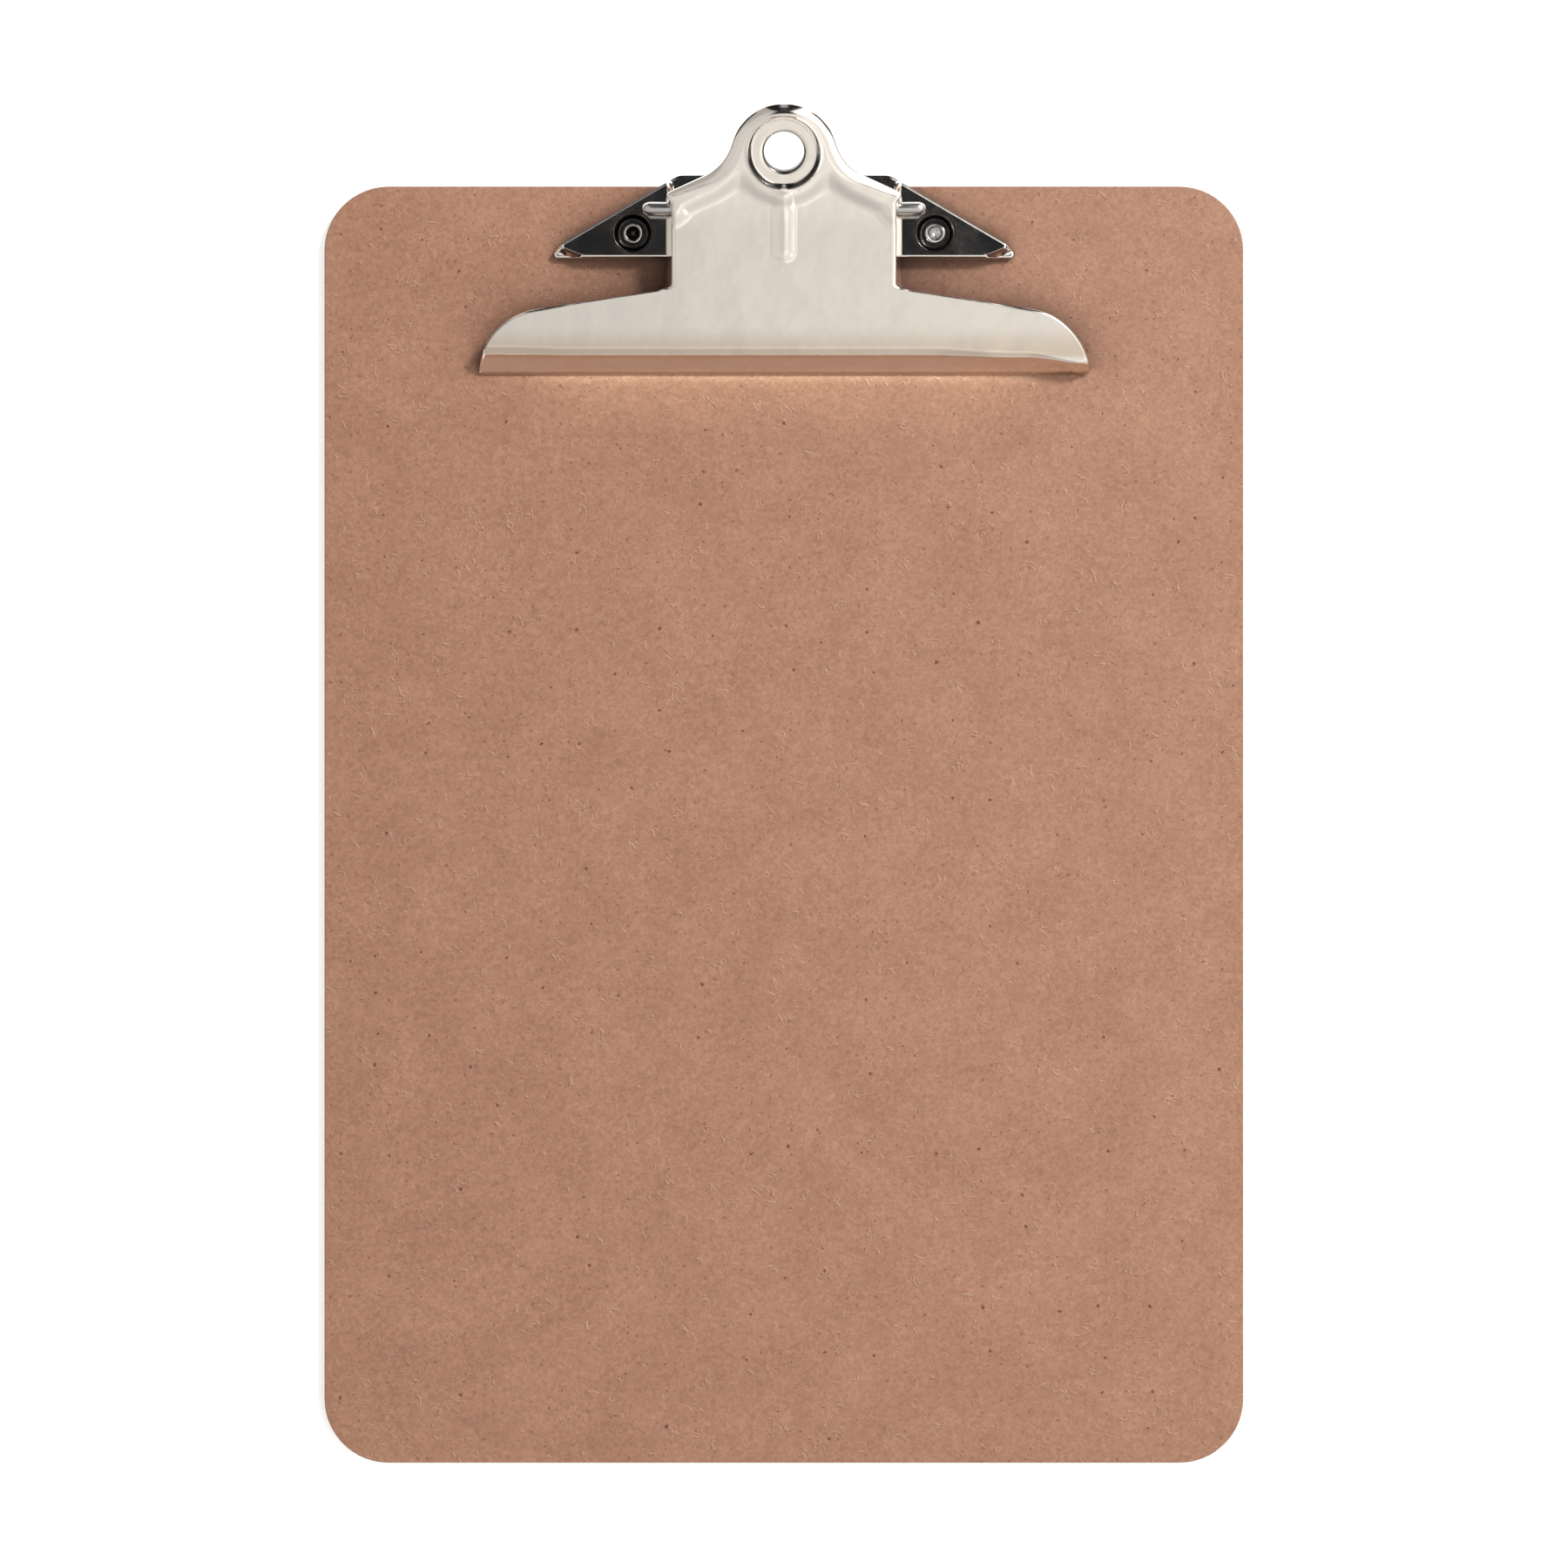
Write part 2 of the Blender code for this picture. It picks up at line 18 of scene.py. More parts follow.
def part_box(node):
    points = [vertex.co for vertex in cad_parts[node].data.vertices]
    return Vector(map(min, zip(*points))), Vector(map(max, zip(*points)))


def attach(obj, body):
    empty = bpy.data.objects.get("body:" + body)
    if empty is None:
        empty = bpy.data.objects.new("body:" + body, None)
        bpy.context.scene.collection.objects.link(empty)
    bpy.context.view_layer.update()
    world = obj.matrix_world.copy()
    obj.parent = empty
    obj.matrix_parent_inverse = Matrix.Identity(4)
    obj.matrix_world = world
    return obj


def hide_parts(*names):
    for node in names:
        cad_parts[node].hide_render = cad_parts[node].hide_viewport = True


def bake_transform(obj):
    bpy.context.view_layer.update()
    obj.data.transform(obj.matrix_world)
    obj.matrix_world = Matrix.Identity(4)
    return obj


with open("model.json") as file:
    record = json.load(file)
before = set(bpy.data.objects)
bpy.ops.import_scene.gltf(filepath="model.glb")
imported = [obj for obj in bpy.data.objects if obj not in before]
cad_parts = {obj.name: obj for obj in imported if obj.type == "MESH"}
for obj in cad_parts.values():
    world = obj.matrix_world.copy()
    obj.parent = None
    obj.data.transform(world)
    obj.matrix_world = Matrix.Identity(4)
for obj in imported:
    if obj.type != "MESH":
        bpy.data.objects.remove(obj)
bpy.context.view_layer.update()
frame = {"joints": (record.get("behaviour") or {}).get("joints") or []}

# ---- sizes read from the frame ----

board_low, board_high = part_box("board")
base_low, base_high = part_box("base_plate")
lever_low, lever_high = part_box("clip_lever")
pin_low, pin_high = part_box("hinge_pin")
rivet_low, rivet_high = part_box("rivet_right")

PIN = Vector(frame["joints"][0]["pos_m"])
PIN_RADIUS = (pin_high.z - pin_low.z) / 2
BOARD_TOP = board_high.z
BOARD_FACE = BOARD_TOP - PIN.z
RIVET = ((rivet_low + rivet_high) / 2 - PIN).xy
JAW_HALF_WIDTH = lever_high.x
JAW_REACH = PIN.y - lever_low.y
HEAD_REACH = lever_high.y - PIN.y
BASE_FRONT = base_low.y - PIN.y
BASE_REAR = base_high.y - PIN.y

# ---- sizes of the sheet-metal work ----

BOARD_CORNER = 0.0159
BOARD_EASE = 0.0004

LEVER_SHEET = 0.0009
LEVER_ABOVE_PIN = 0.0050
LEVER_HALF_WIDTH = 0.0292
FLANGE_FLARE = 0.0014
JAW_EDGE_LEAN = math.radians(38)
CREASE_REACH = 0.0352
CREASE_DROP = 0.0020
CREASE_BLEND = 0.0012
HEAD_SLOPE = math.radians(19)
RIM_DEPTH = 0.0030
FLANGE_DEPTH = 0.00475
FLANGE_FRONT = -0.0201
FLANGE_FADE = 0.0014
FLANGE_REAR = 0.0030

EMBOSS = 0.0007
EMBOSS_BLEND = 0.0036
EMBOSS_JOIN = 0.0040
BAND_WIDTH = 0.0058
DISC_RADIUS = 0.0119
RIB_HALF_WIDTH = 0.0029
RIB_HEIGHT = 0.00050
RIB_END = -0.0107
HOLE_REACH = 0.0125
HOLE_RADIUS = 0.0049

# the bend along the lever's outline, by distance behind the pin: its two radii, and the angle between them
EDGE_Y = (-0.020, 0.0020, 0.0036, 0.0060, 0.0100, 0.0140, 0.0170, 0.0200)
EDGE_RADII = (0.0016, 0.0016, 0.0021, 0.0032, 0.0050, 0.0046, 0.0040, 0.0029)
EDGE_TIGHT = (0.0005, 0.0005, 0.0006, 0.0008, 0.0008, 0.0006, 0.0005, 0.0003)
EDGE_EASY = (36, 34, 26, 22, 23, 29, 36, 45)

# how a pressed face's points are spread: clear of its bends, its loops and its added points
EDGE_LEAD = 0.0001
LOOP_GAP = 0.00011
CLOSE_GAP = 0.0003

# where the lever's rows of points are finer: behind the front of its relief, and along its crease
RELIEF_FRONT = -0.016
CREASE_ROWS = (-0.0396, -0.0326)

BASE_SHEET = 0.0008
BASE_TOP = BOARD_FACE + 0.0042
BASE_BOTTOM = BOARD_FACE + 0.0003
BASE_BEND = 0.0008
DIMPLE_DEPTH = BASE_TOP - BASE_BOTTOM - BASE_SHEET
WINDOW_START = 0.0165
EAR_INSIDE = 0.0256
EAR_SHEET = 0.0010
EAR_HALF = 0.0046
EAR_TOP = 0.0027

RIVET_TUBE = 0.0016
RIVET_HEAD = 0.0009
RIVET_BORE = 0.0017
COUNTERBORE = 0.0041
COUNTERBORE_DEPTH = 0.0011

SIDES = (("left", -1), ("right", 1))
MM = 1000.0


# ---- outlines ----

def rounded(corners, chord=0.0005):
    """A closed outline from corners (x, y, radius), anticlockwise, its arcs and sides cut to short chords."""
    points = []
    for index, (x, y, radius) in enumerate(corners):
        corner = Vector((x, y))
        before = (Vector(corners[index - 1][:2]) - corner).normalized()
        after = (Vector(corners[(index + 1) % len(corners)][:2]) - corner).normalized()
        half = before.angle(after) / 2
        centre = corner + (before + after).normalized() * radius / math.sin(half)
        start = corner + before * radius / math.tan(half) - centre
        turn = math.pi - 2 * half
        if before.x * after.y - before.y * after.x > 0:
            turn = -turn
        count = max(2, math.ceil(abs(turn) * radius / chord), math.ceil(abs(turn) / 0.2))
        points += [centre + Matrix.Rotation(turn * k / count, 2) @ start for k in range(count + 1)]
    outline = []
    for index, point in enumerate(points):
        gap = points[(index + 1) % len(points)] - point
        pieces = max(1, round(gap.length / chord))
        if gap.length > chord / 20:
            outline += [point + gap * k / pieces for k in range(pieces)]
    return np.array([tuple(p) for p in outline])


def mirrored(half):
    return half + [(-x, y, radius) for x, y, radius in reversed(half)]


def inward_normals(outline):
    """The unit normal at each point of an anticlockwise outline, towards its inside."""
    along = np.roll(outline, -1, 0) - outline
    along /= np.linalg.norm(along, axis=1, keepdims=True)
    along = along + np.roll(along, 1, 0)
    along /= np.linalg.norm(along, axis=1, keepdims=True)
    return np.stack([-along[:, 1], along[:, 0]], 1)


def inside(points, outline):
    """Which points lie inside a closed outline."""
    x, y = points[:, 0], points[:, 1]
    result = np.zeros(len(points), bool)
    for (x0, y0), (x1, y1) in zip(outline, np.roll(outline, -1, 0)):
        if y0 == y1:
            continue
        crosses = (y0 > y) != (y1 > y)
        result ^= crosses & (x < (x1 - x0) * (y - y0) / (y1 - y0) + x0)
    return result


def distance_to(points, outline):
    """Distance from each point to the nearest side of a closed outline."""
    best = np.full(len(points), 1.0)
    for start, end in zip(outline, np.roll(outline, -1, 0)):
        side = end - start
        along = np.clip((points - start) @ side / (side @ side), 0, 1)
        best = np.minimum(best, np.linalg.norm(points - start - along[:, None] * side, axis=1))
    return best


def smooth(value):
    value = np.clip(value, 0, 1)
    return value * value * (3 - 2 * value)


# ---- meshes ----

def placed(name, data, at=(0, 0, 0)):
    """A new object in the scene."""
    obj = bpy.data.objects.new(name, data)
    bpy.context.scene.collection.objects.link(obj)
    obj.location = at
    return obj


def new_object(name, vertices, faces, material, at=PIN):
    mesh = bpy.data.meshes.new(name)
    mesh.from_pydata([tuple(v) for v in vertices], [], [tuple(f) for f in faces])
    mesh.validate()
    mesh.shade_smooth()
    mesh.materials.append(material)
    return placed(name, mesh, at)


@contextmanager
def editing(mesh):
    """Opens a mesh for editing, and writes it back at the end."""
    shape = bmesh.new()
    shape.from_mesh(mesh)
    yield shape
    shape.to_mesh(mesh)
    shape.free()


def apply_modifiers(obj):
    """Replaces the object's mesh with its evaluated one, and drops its modifiers."""
    bpy.context.view_layer.update()
    evaluated = obj.evaluated_get(bpy.context.evaluated_depsgraph_get())
    mesh = bpy.data.meshes.new_from_object(evaluated)
    obj.modifiers.clear()
    obj.data = mesh


def numbered(first, count):
    """The numbers of a run of vertices."""
    return list(range(first, first + count))


def around(count):
    """The angles of points spaced evenly round a circle."""
    return [2 * math.pi * k / count for k in range(count)]


def strips(rings, flip=False):
    """Quads between successive closed rings of vertex numbers that all have the same length."""
    faces = []
    for low, high in zip(rings, rings[1:]):
        for k in range(len(low)):
            n = (k + 1) % len(low)
            quad = (low[k], low[n], high[n], high[k])
            faces.append(quad[::-1] if flip else quad)
    return faces


def fill_between(border, holes, inner_points, positions):
    """Triangles that fill a border loop round hole loops and over the inner points, and the points kept.

    Loops hold vertex numbers, and the kept points' numbers follow the positions.
    """
    loops = [border, *holes]
    numbers = [n for loop in loops for n in loop]
    edges, first = [], 0
    for loop in loops:
        edges += [(first + k, first + (k + 1) % len(loop)) for k in range(len(loop))]
        first += len(loop)
    outer, *rings = [np.array([positions[n][:2] for n in loop]) for loop in loops]
    keep = inside(inner_points, outer) & (distance_to(inner_points, outer) > LOOP_GAP)
    for ring in rings:
        keep &= ~inside(inner_points, ring) & (distance_to(inner_points, ring) > LOOP_GAP)
    kept = inner_points[keep]
    plan = [Vector(p) * MM for p in (*(positions[n][:2] for n in numbers), *kept)]
    corners, _, triangles, origins, _, _ = delaunay_2d_cdt(plan, edges, [], 0, 1e-7)
    centres = np.array([sum((corners[i] for i in t), Vector((0, 0))) / 3 / MM for t in triangles])
    wanted = inside(centres, outer)
    for ring in rings:
        wanted &= ~inside(centres, ring)
    base = len(positions) - len(numbers)
    lookup = [numbers[o[0]] if o[0] < len(numbers) else base + o[0] for o in origins]
    return kept, [tuple(lookup[i] for i in t) for t, w in zip(triangles, wanted) if w]


def bent_edge(outline, height, level, edge):
    """The points of an outline's bent edge in rings, from just inside the bend to the wall's lower end."""
    normals = inward_normals(outline)
    profiles = [bend_profile(p, n, height, level, edge(*p)) for p, n in zip(outline, normals)]
    starts = np.array([profile[0][:1] for profile in profiles])
    x, y = (outline + normals * (starts + EDGE_LEAD)).T
    points = [*zip(x, y, height(x, y))]
    for k in range(len(profiles[0])):
        for point, normal, profile in zip(outline, normals, profiles):
            offset, z = profile[k]
            points.append((*(point + normal * offset), z))
    return points, [numbered(first, len(outline)) for first in range(0, len(points), len(outline))]


def formed_sheet(
    name, outline, height, edge, sheet, rows, close_points, holes, material, windows=(), level=None,
):
    """A pressed sheet: a top face at height(x, y), its edges bent down, pressed round holes, and a thickness.

    edge(x, y) gives each outline point's bend: its two radii, the angle where one follows the other, the
    angle of the wall, the least turn of the bend, and the z of the wall's lower end or None for a short lip.
    level(x, y) is the height without its relief, which the bends start from.
    rows are (y, x spacing) of the points that carry the top face, and close_points are added among them.
    holes are functions of the vertex list that add a ring-shaped patch and give its outer ring and faces.
    windows are outlines that are cut out.
    """
    positions, rings = bent_edge(outline, height, level or height, edge)
    faces = strips(rings, flip=True)
    loops = []
    for hole in holes:
        ring, ring_faces = hole(positions)
        loops.append(ring)
        faces += ring_faces
    for window in windows:
        x, y = window.T
        loops.append(numbered(len(positions), len(window)))
        positions.extend(zip(x, y, height(x, y)))

    reach = np.abs(outline[:, 0]).max()
    spread = []
    for y, step in rows:
        count = int(2 * reach / step)
        spread += [(-reach + (k + 0.5) * 2 * reach / count, y) for k in range(count)]
    spread = np.array([p for p in spread if np.linalg.norm(close_points - p, axis=1).min() > CLOSE_GAP])
    kept, triangles = fill_between(rings[0], loops, np.concatenate([spread, close_points]), positions)
    positions.extend(zip(kept[:, 0], kept[:, 1], height(kept[:, 0], kept[:, 1])))

    obj = new_object(name, positions, faces + triangles, material)
    face_up(obj)
    solidify = obj.modifiers.new("sheet", "SOLIDIFY")
    solidify.thickness = sheet
    solidify.offset = -1
    solidify.use_quality_normals = True
    solidify.use_even_offset = False
    return obj


def bend_profile(point, normal, height, level, bend):
    """The section (distance inside the outline, z) of a bent edge, from the flat to the wall's lower end.

    The bend runs at its full radius to the angle "easy", and from there at a tight radius.
    """
    radius, tight, easy, steepest, least_turn, low = bend
    total = radius
    for _ in range(4):
        start = point + normal * total
        probe = start + normal * 0.0003
        x, y = np.array([start, probe]).T
        here = height(x, y)[0]
        level_here, level_back = level(x, y)
        tilt = math.atan2(level_back - level_here, 0.0003)
        last = max(steepest, tilt + least_turn)
        turn = min(max(easy, tilt), last)
        wide = radius * (math.sin(turn) - math.sin(tilt))
        narrow = tight * (math.sin(last) - math.sin(turn))
        fall = radius * (math.cos(tilt) - math.cos(turn)) + tight * (math.cos(turn) - math.cos(last))
        length = 0.0002 if low is None else max(0.0002, (here - fall - low) / math.sin(last))
        total = wide + narrow + length * math.cos(last)

    def arc(begin, size, angles):
        first = angles[0]
        return [(begin[0] - size * (math.sin(a) - math.sin(first)),
                 begin[1] - size * (math.cos(first) - math.cos(a))) for a in angles]

    section = arc((total, here), radius, np.linspace(tilt, turn, 11))
    section += arc(section[-1], tight, np.linspace(turn, last, 5))[1:]
    x, z = section[-1]
    for share in (0.12, 0.5, 1.0):
        section.append((x - length * share * math.cos(last), z - length * share * math.sin(last)))
    return section


def face_up(obj):
    """Drops unused points and makes all faces of an open sheet agree, with its top looking up."""
    with editing(obj.data) as shape:
        loose = [v for v in shape.verts if not v.link_faces]
        bmesh.ops.delete(shape, geom=loose, context="VERTS")
        bmesh.ops.recalc_face_normals(shape, faces=shape.faces)
        if sum(f.normal.z * f.calc_area() for f in shape.faces) < 0:
            bmesh.ops.reverse_faces(shape, faces=shape.faces)


def ease_edges(obj, width):
    """Gives an object's sharp edges a narrow bevel, and applies all its modifiers."""
    bevel = obj.modifiers.new("ease", "BEVEL")
    bevel.width = width
    bevel.segments = 2
    bevel.limit_method = "ANGLE"
    bevel.angle_limit = math.radians(50)
    apply_modifiers(obj)


def small_plate(name, outline, place, material):
    """A flat piece of sheet from an outline (y, z), where place(layer, y, z) gives each face's points."""
    vertices = [place(layer, y, z) for layer in (0, 1) for y, z in outline]
    count = len(outline)
    near, far = numbered(0, count), numbered(count, count)
    faces = [near[::-1], far, *strips([near, far])]
    plate = new_object(name, vertices, faces, material)
    with editing(plate.data) as shape:
        bmesh.ops.triangulate(shape, faces=[f for f in shape.faces if len(f.verts) > 4])
        bmesh.ops.recalc_face_normals(shape, faces=shape.faces)
    ease_edges(plate, 0.00012)
    plate.data.set_sharp_from_angle(angle=math.radians(50))
    return plate


def turned(name, profile, material, segments, at=PIN, turn=None, wobble=None):
    """A solid turned round Z from a profile (radius, z) that runs from the bottom's centre to the top's."""
    vertices, rings = [], []
    for radius, z in profile:
        if radius == 0:
            rings.append([len(vertices)] * segments)
            vertices.append((0, 0, z))
            continue
        rings.append(numbered(len(vertices), segments))
        for angle in around(segments):
            r, h = wobble(radius, z, angle) if wobble else (radius, z)
            vertices.append((r * math.cos(angle), r * math.sin(angle), h))
    faces = []
    for quad in strips(rings):
        corners = list(dict.fromkeys(quad))
        if len(corners) > 2:
            faces.append(corners)
    obj = new_object(name, vertices, faces, material, at)
    if turn:
        obj.rotation_euler = turn
    return obj


def ring_patch(centre, tilt, profile, segments):
    """A pressed ring round a hole, for formed_sheet: profile is (radius, height) from the outside in."""
    lean = Matrix.Rotation(tilt, 3, "X")

    def build(positions):
        rings = []
        for radius, rise in profile:
            rings.append(numbered(len(positions), segments))
            for angle in around(segments):
                local = Vector((radius * math.cos(angle), radius * math.sin(angle), rise))
                positions.append(tuple(Vector(centre) + lean @ local))
        return rings[0], strips(rings, flip=True)

    return build


def arc(centre, radius, start, end, count):
    """Points (x, y) along an arc, with angles in degrees."""
    angles = np.radians(np.linspace(start, end, count))
    return [(centre[0] + radius * math.cos(a), centre[1] + radius * math.sin(a)) for a in angles]


# ---- node trees ----

class Nodes:
    """A node tree, with short ways to add nodes and join them."""

    def __init__(self, tree):
        self.tree = tree

    def add(self, kind, inputs=None, **settings):
        node = self.tree.nodes.new(kind)
        for key, value in settings.items():
            setattr(node, key, value)
        for key, value in (inputs or {}).items():
            self.set(node.inputs[key], value)
        return node

    def set(self, socket, value):
        if isinstance(value, bpy.types.NodeSocket):
            self.tree.links.new(value, socket)
        else:
            socket.default_value = value

    def math(self, operation, first, second=0.0):
        return self.add("ShaderNodeMath", {0: first, 1: second}, operation=operation).outputs["Value"]

    def plus(self, first, second):
        return self.math("ADD", first, second)

    def times(self, product, *factors):
        for factor in factors:
            product = self.math("MULTIPLY", product, factor)
        return product

    def most(self, first, second):
        return self.math("MAXIMUM", first, second)

    def one_minus(self, value):
        return self.math("SUBTRACT", 1.0, value)

    def absolute(self, value):
        return self.math("ABSOLUTE", value)

    def ramp(self, value, low, high, to_low=0.0, to_high=1.0):
        """Eases from to_low, where the value is low, to to_high, where it is high."""
        inputs = {"Value": value, "From Min": low, "From Max": high, "To Min": to_low, "To Max": to_high}
        return self.add("ShaderNodeMapRange", inputs, interpolation_type="SMOOTHSTEP").outputs["Result"]

    def vector(self, operation, first, second):
        return self.add("ShaderNodeVectorMath", {0: first, 1: second}, operation=operation).outputs["Vector"]

    def axes(self, vector):
        split = self.add("ShaderNodeSeparateXYZ", {"Vector": vector})
        return [split.outputs[axis] for axis in "XYZ"]

    def mix(self, factor, first, second, blend="MIX"):
        node = self.add("ShaderNodeMix", data_type="RGBA", blend_type=blend)
        self.set(node.inputs["Factor"], factor)
        colours = [s for s in node.inputs if s.type == "RGBA"]
        for socket, value in zip(colours, (first, second)):
            self.set(socket, (*value, 1) if isinstance(value, tuple) else value)
        return next(s for s in node.outputs if s.type == "RGBA")

    def tinted(self, colour, tint):
        return self.mix(1.0, colour, tint, "MULTIPLY")


class Surface(Nodes):
    """A new material's node tree. Its patterns are laid out in millimetres along the object's own axes."""

    def __init__(self, name):
        self.material = bpy.data.materials.new(name)
        self.material.use_nodes = True
        super().__init__(self.material.node_tree)
        self.shader = self.tree.nodes["Principled BSDF"]
        self.place = self.add("ShaderNodeTexCoord").outputs["Object"]

    def shader_input(self, **values):
        for key, value in values.items():
            self.set(self.shader.inputs[key.replace("_", " ")], value)

    def mapped(self, scale=(1, 1, 1), turn=0.0, shift=(0, 0, 0)):
        inputs = {
            "Vector": self.place, "Scale": [s * MM for s in scale],
            "Rotation": (0, 0, turn), "Location": shift,
        }
        return self.add("ShaderNodeMapping", inputs).outputs["Vector"]

    def noise(self, scale, detail=2.0, roughness=0.5, distortion=0.0, vector=None):
        inputs = {
            "Vector": vector or self.mapped(), "Scale": scale, "Detail": detail,
            "Roughness": roughness, "Distortion": distortion,
        }
        return self.add("ShaderNodeTexNoise", inputs).outputs["Fac"]

    def facing(self):
        """The three parts of the surface's direction."""
        return self.axes(self.add("ShaderNodeNewGeometry").outputs["Normal"])

    def bump(self, height, distance, strength=1.0, under=None):
        inputs = {"Height": height, "Distance": distance, "Strength": strength}
        if under is not None:
            inputs["Normal"] = under
        return self.add("ShaderNodeBump", inputs).outputs["Normal"]


# ---- hardboard ----

HARDBOARD_DARK = (0.308, 0.158, 0.1015)
HARDBOARD_LIGHT = (0.340, 0.179, 0.116)
PALE_FIBRE = (0.62, 0.42, 0.31)
FURROW = (0.14, 0.06, 0.035)
SMALL_SPECK = (0.17, 0.07, 0.04)
LARGE_SPECK = (0.10, 0.035, 0.02)
DEEP_SHADE = (0.05, 0.018, 0.010)
EDGE_DARK = (0.10, 0.05, 0.03)
EDGE_LIGHT = (0.24, 0.13, 0.08)

# painted light: the board is paler in front of the jaw, as though the lip lit it: a wide faint strip and a
# close bright one
WIDE_STRIP, WIDE_LIGHT_TINT = 0.0170, (1.23, 1.29, 1.27)
CLOSE_STRIP, CLOSE_LIGHT_TINT = 0.0042, (1.47, 1.58, 1.60)
STRIP_END_FADE = 0.030


def spots(nodes, per_mm, size, seed, share):
    """Round-ish spots, 1 at their middles: about share of the cells of a random pattern have one."""
    place = nodes.mapped(shift=(seed, seed * 0.7, 0))
    wavy = nodes.add("ShaderNodeTexNoise", {"Vector": place, "Scale": 1.7, "Detail": 1.0})
    offset = nodes.vector("MULTIPLY", wavy.outputs["Color"], (0.9, 0.9, 0.9))
    inputs = {"Vector": nodes.vector("ADD", place, offset), "Scale": per_mm}
    cells = nodes.add("ShaderNodeTexVoronoi", inputs, voronoi_dimensions="2D")
    chance = nodes.add("ShaderNodeSeparateColor", {"Color": cells.outputs["Color"]})
    picked = nodes.math("LESS_THAN", chance.outputs["Red"], share)
    reach = nodes.times(nodes.plus(chance.outputs["Green"], 0.35), size * per_mm)
    depth = nodes.math("DIVIDE", cells.outputs["Distance"], reach)
    return nodes.times(nodes.ramp(depth, 1.0, 0.35), picked)


def fibre_marks(nodes, aside=(0, 0)):
    """Short curls: thin level lines of a slow noise, kept only here and there."""
    shift = (17 + aside[0], 5 + aside[1], 0)
    slow = nodes.noise(0.30, detail=1.0, distortion=0.6, vector=nodes.mapped(shift=shift))
    line = nodes.ramp(nodes.absolute(nodes.math("SUBTRACT", slow, 0.5)), 0.022, 0.0)
    here = nodes.noise(0.34, detail=0.0, vector=nodes.mapped(shift=(3, 31, 0)))
    return nodes.times(line, nodes.ramp(here, 0.58, 0.68))


def screen_marks(nodes):
    """The woven wire screen's imprint on the board's back."""
    marks = 1.0
    for turn in (0.0, math.pi / 2):
        inputs = {"Vector": nodes.mapped(turn=turn), "Scale": 0.16, "Distortion": 0.5, "Detail": 1.0}
        marks = nodes.times(nodes.add("ShaderNodeTexWave", inputs).outputs["Fac"], marks)
    return marks


def mottled(nodes, fine):
    """The face's tan, in clouds, grain and flecks."""
    cloudy = nodes.noise(0.055, detail=3.0, roughness=0.55)
    colour = nodes.mix(nodes.ramp(cloudy, 0.3, 0.7), HARDBOARD_DARK, HARDBOARD_LIGHT)
    grain = nodes.mix(nodes.ramp(fine, 0.28, 0.72), (0.86, 0.84, 0.82), (1.105, 1.115, 1.13))
    fleck = nodes.noise(0.55, detail=2.0, roughness=0.5, distortion=1.5)
    flecks = nodes.mix(nodes.ramp(fleck, 0.30, 0.70), (0.91, 0.90, 0.89), (1.07, 1.08, 1.08))
    return nodes.tinted(nodes.tinted(colour, grain), flecks)


def shaded_by_clip(nodes, colour):
    """Painted shade under the clip behind the jaw's line, and pale strips of painted light in front of it."""
    across, ahead, _ = nodes.axes(nodes.place)
    jaw_line = PIN.y - JAW_REACH
    # painted shade: the board darkens where the clip shelters it, behind the jaw's line
    shelter = nodes.add("ShaderNodeAmbientOcclusion", {"Distance": 0.016}, samples=6)
    deep = nodes.ramp(shelter.outputs["AO"], 0.95, 0.45)
    behind = nodes.ramp(ahead, jaw_line - 0.0005, jaw_line + 0.0015)
    colour = nodes.mix(nodes.times(deep, behind, 0.85), colour, DEEP_SHADE)
    # painted light: pale strips on the board just in front of the lip
    under_lip = nodes.ramp(ahead, jaw_line + 0.0060, jaw_line + 0.0040)
    ends = nodes.ramp(nodes.absolute(across), JAW_HALF_WIDTH, JAW_HALF_WIDTH - STRIP_END_FADE)
    strip = nodes.times(under_lip, ends)
    wide = nodes.ramp(ahead, jaw_line - WIDE_STRIP, jaw_line)
    colour = nodes.mix(nodes.times(strip, wide), colour, nodes.tinted(colour, WIDE_LIGHT_TINT))
    close = nodes.ramp(ahead, jaw_line - CLOSE_STRIP, jaw_line)
    return nodes.mix(nodes.times(strip, close, close), colour, nodes.tinted(colour, CLOSE_LIGHT_TINT))


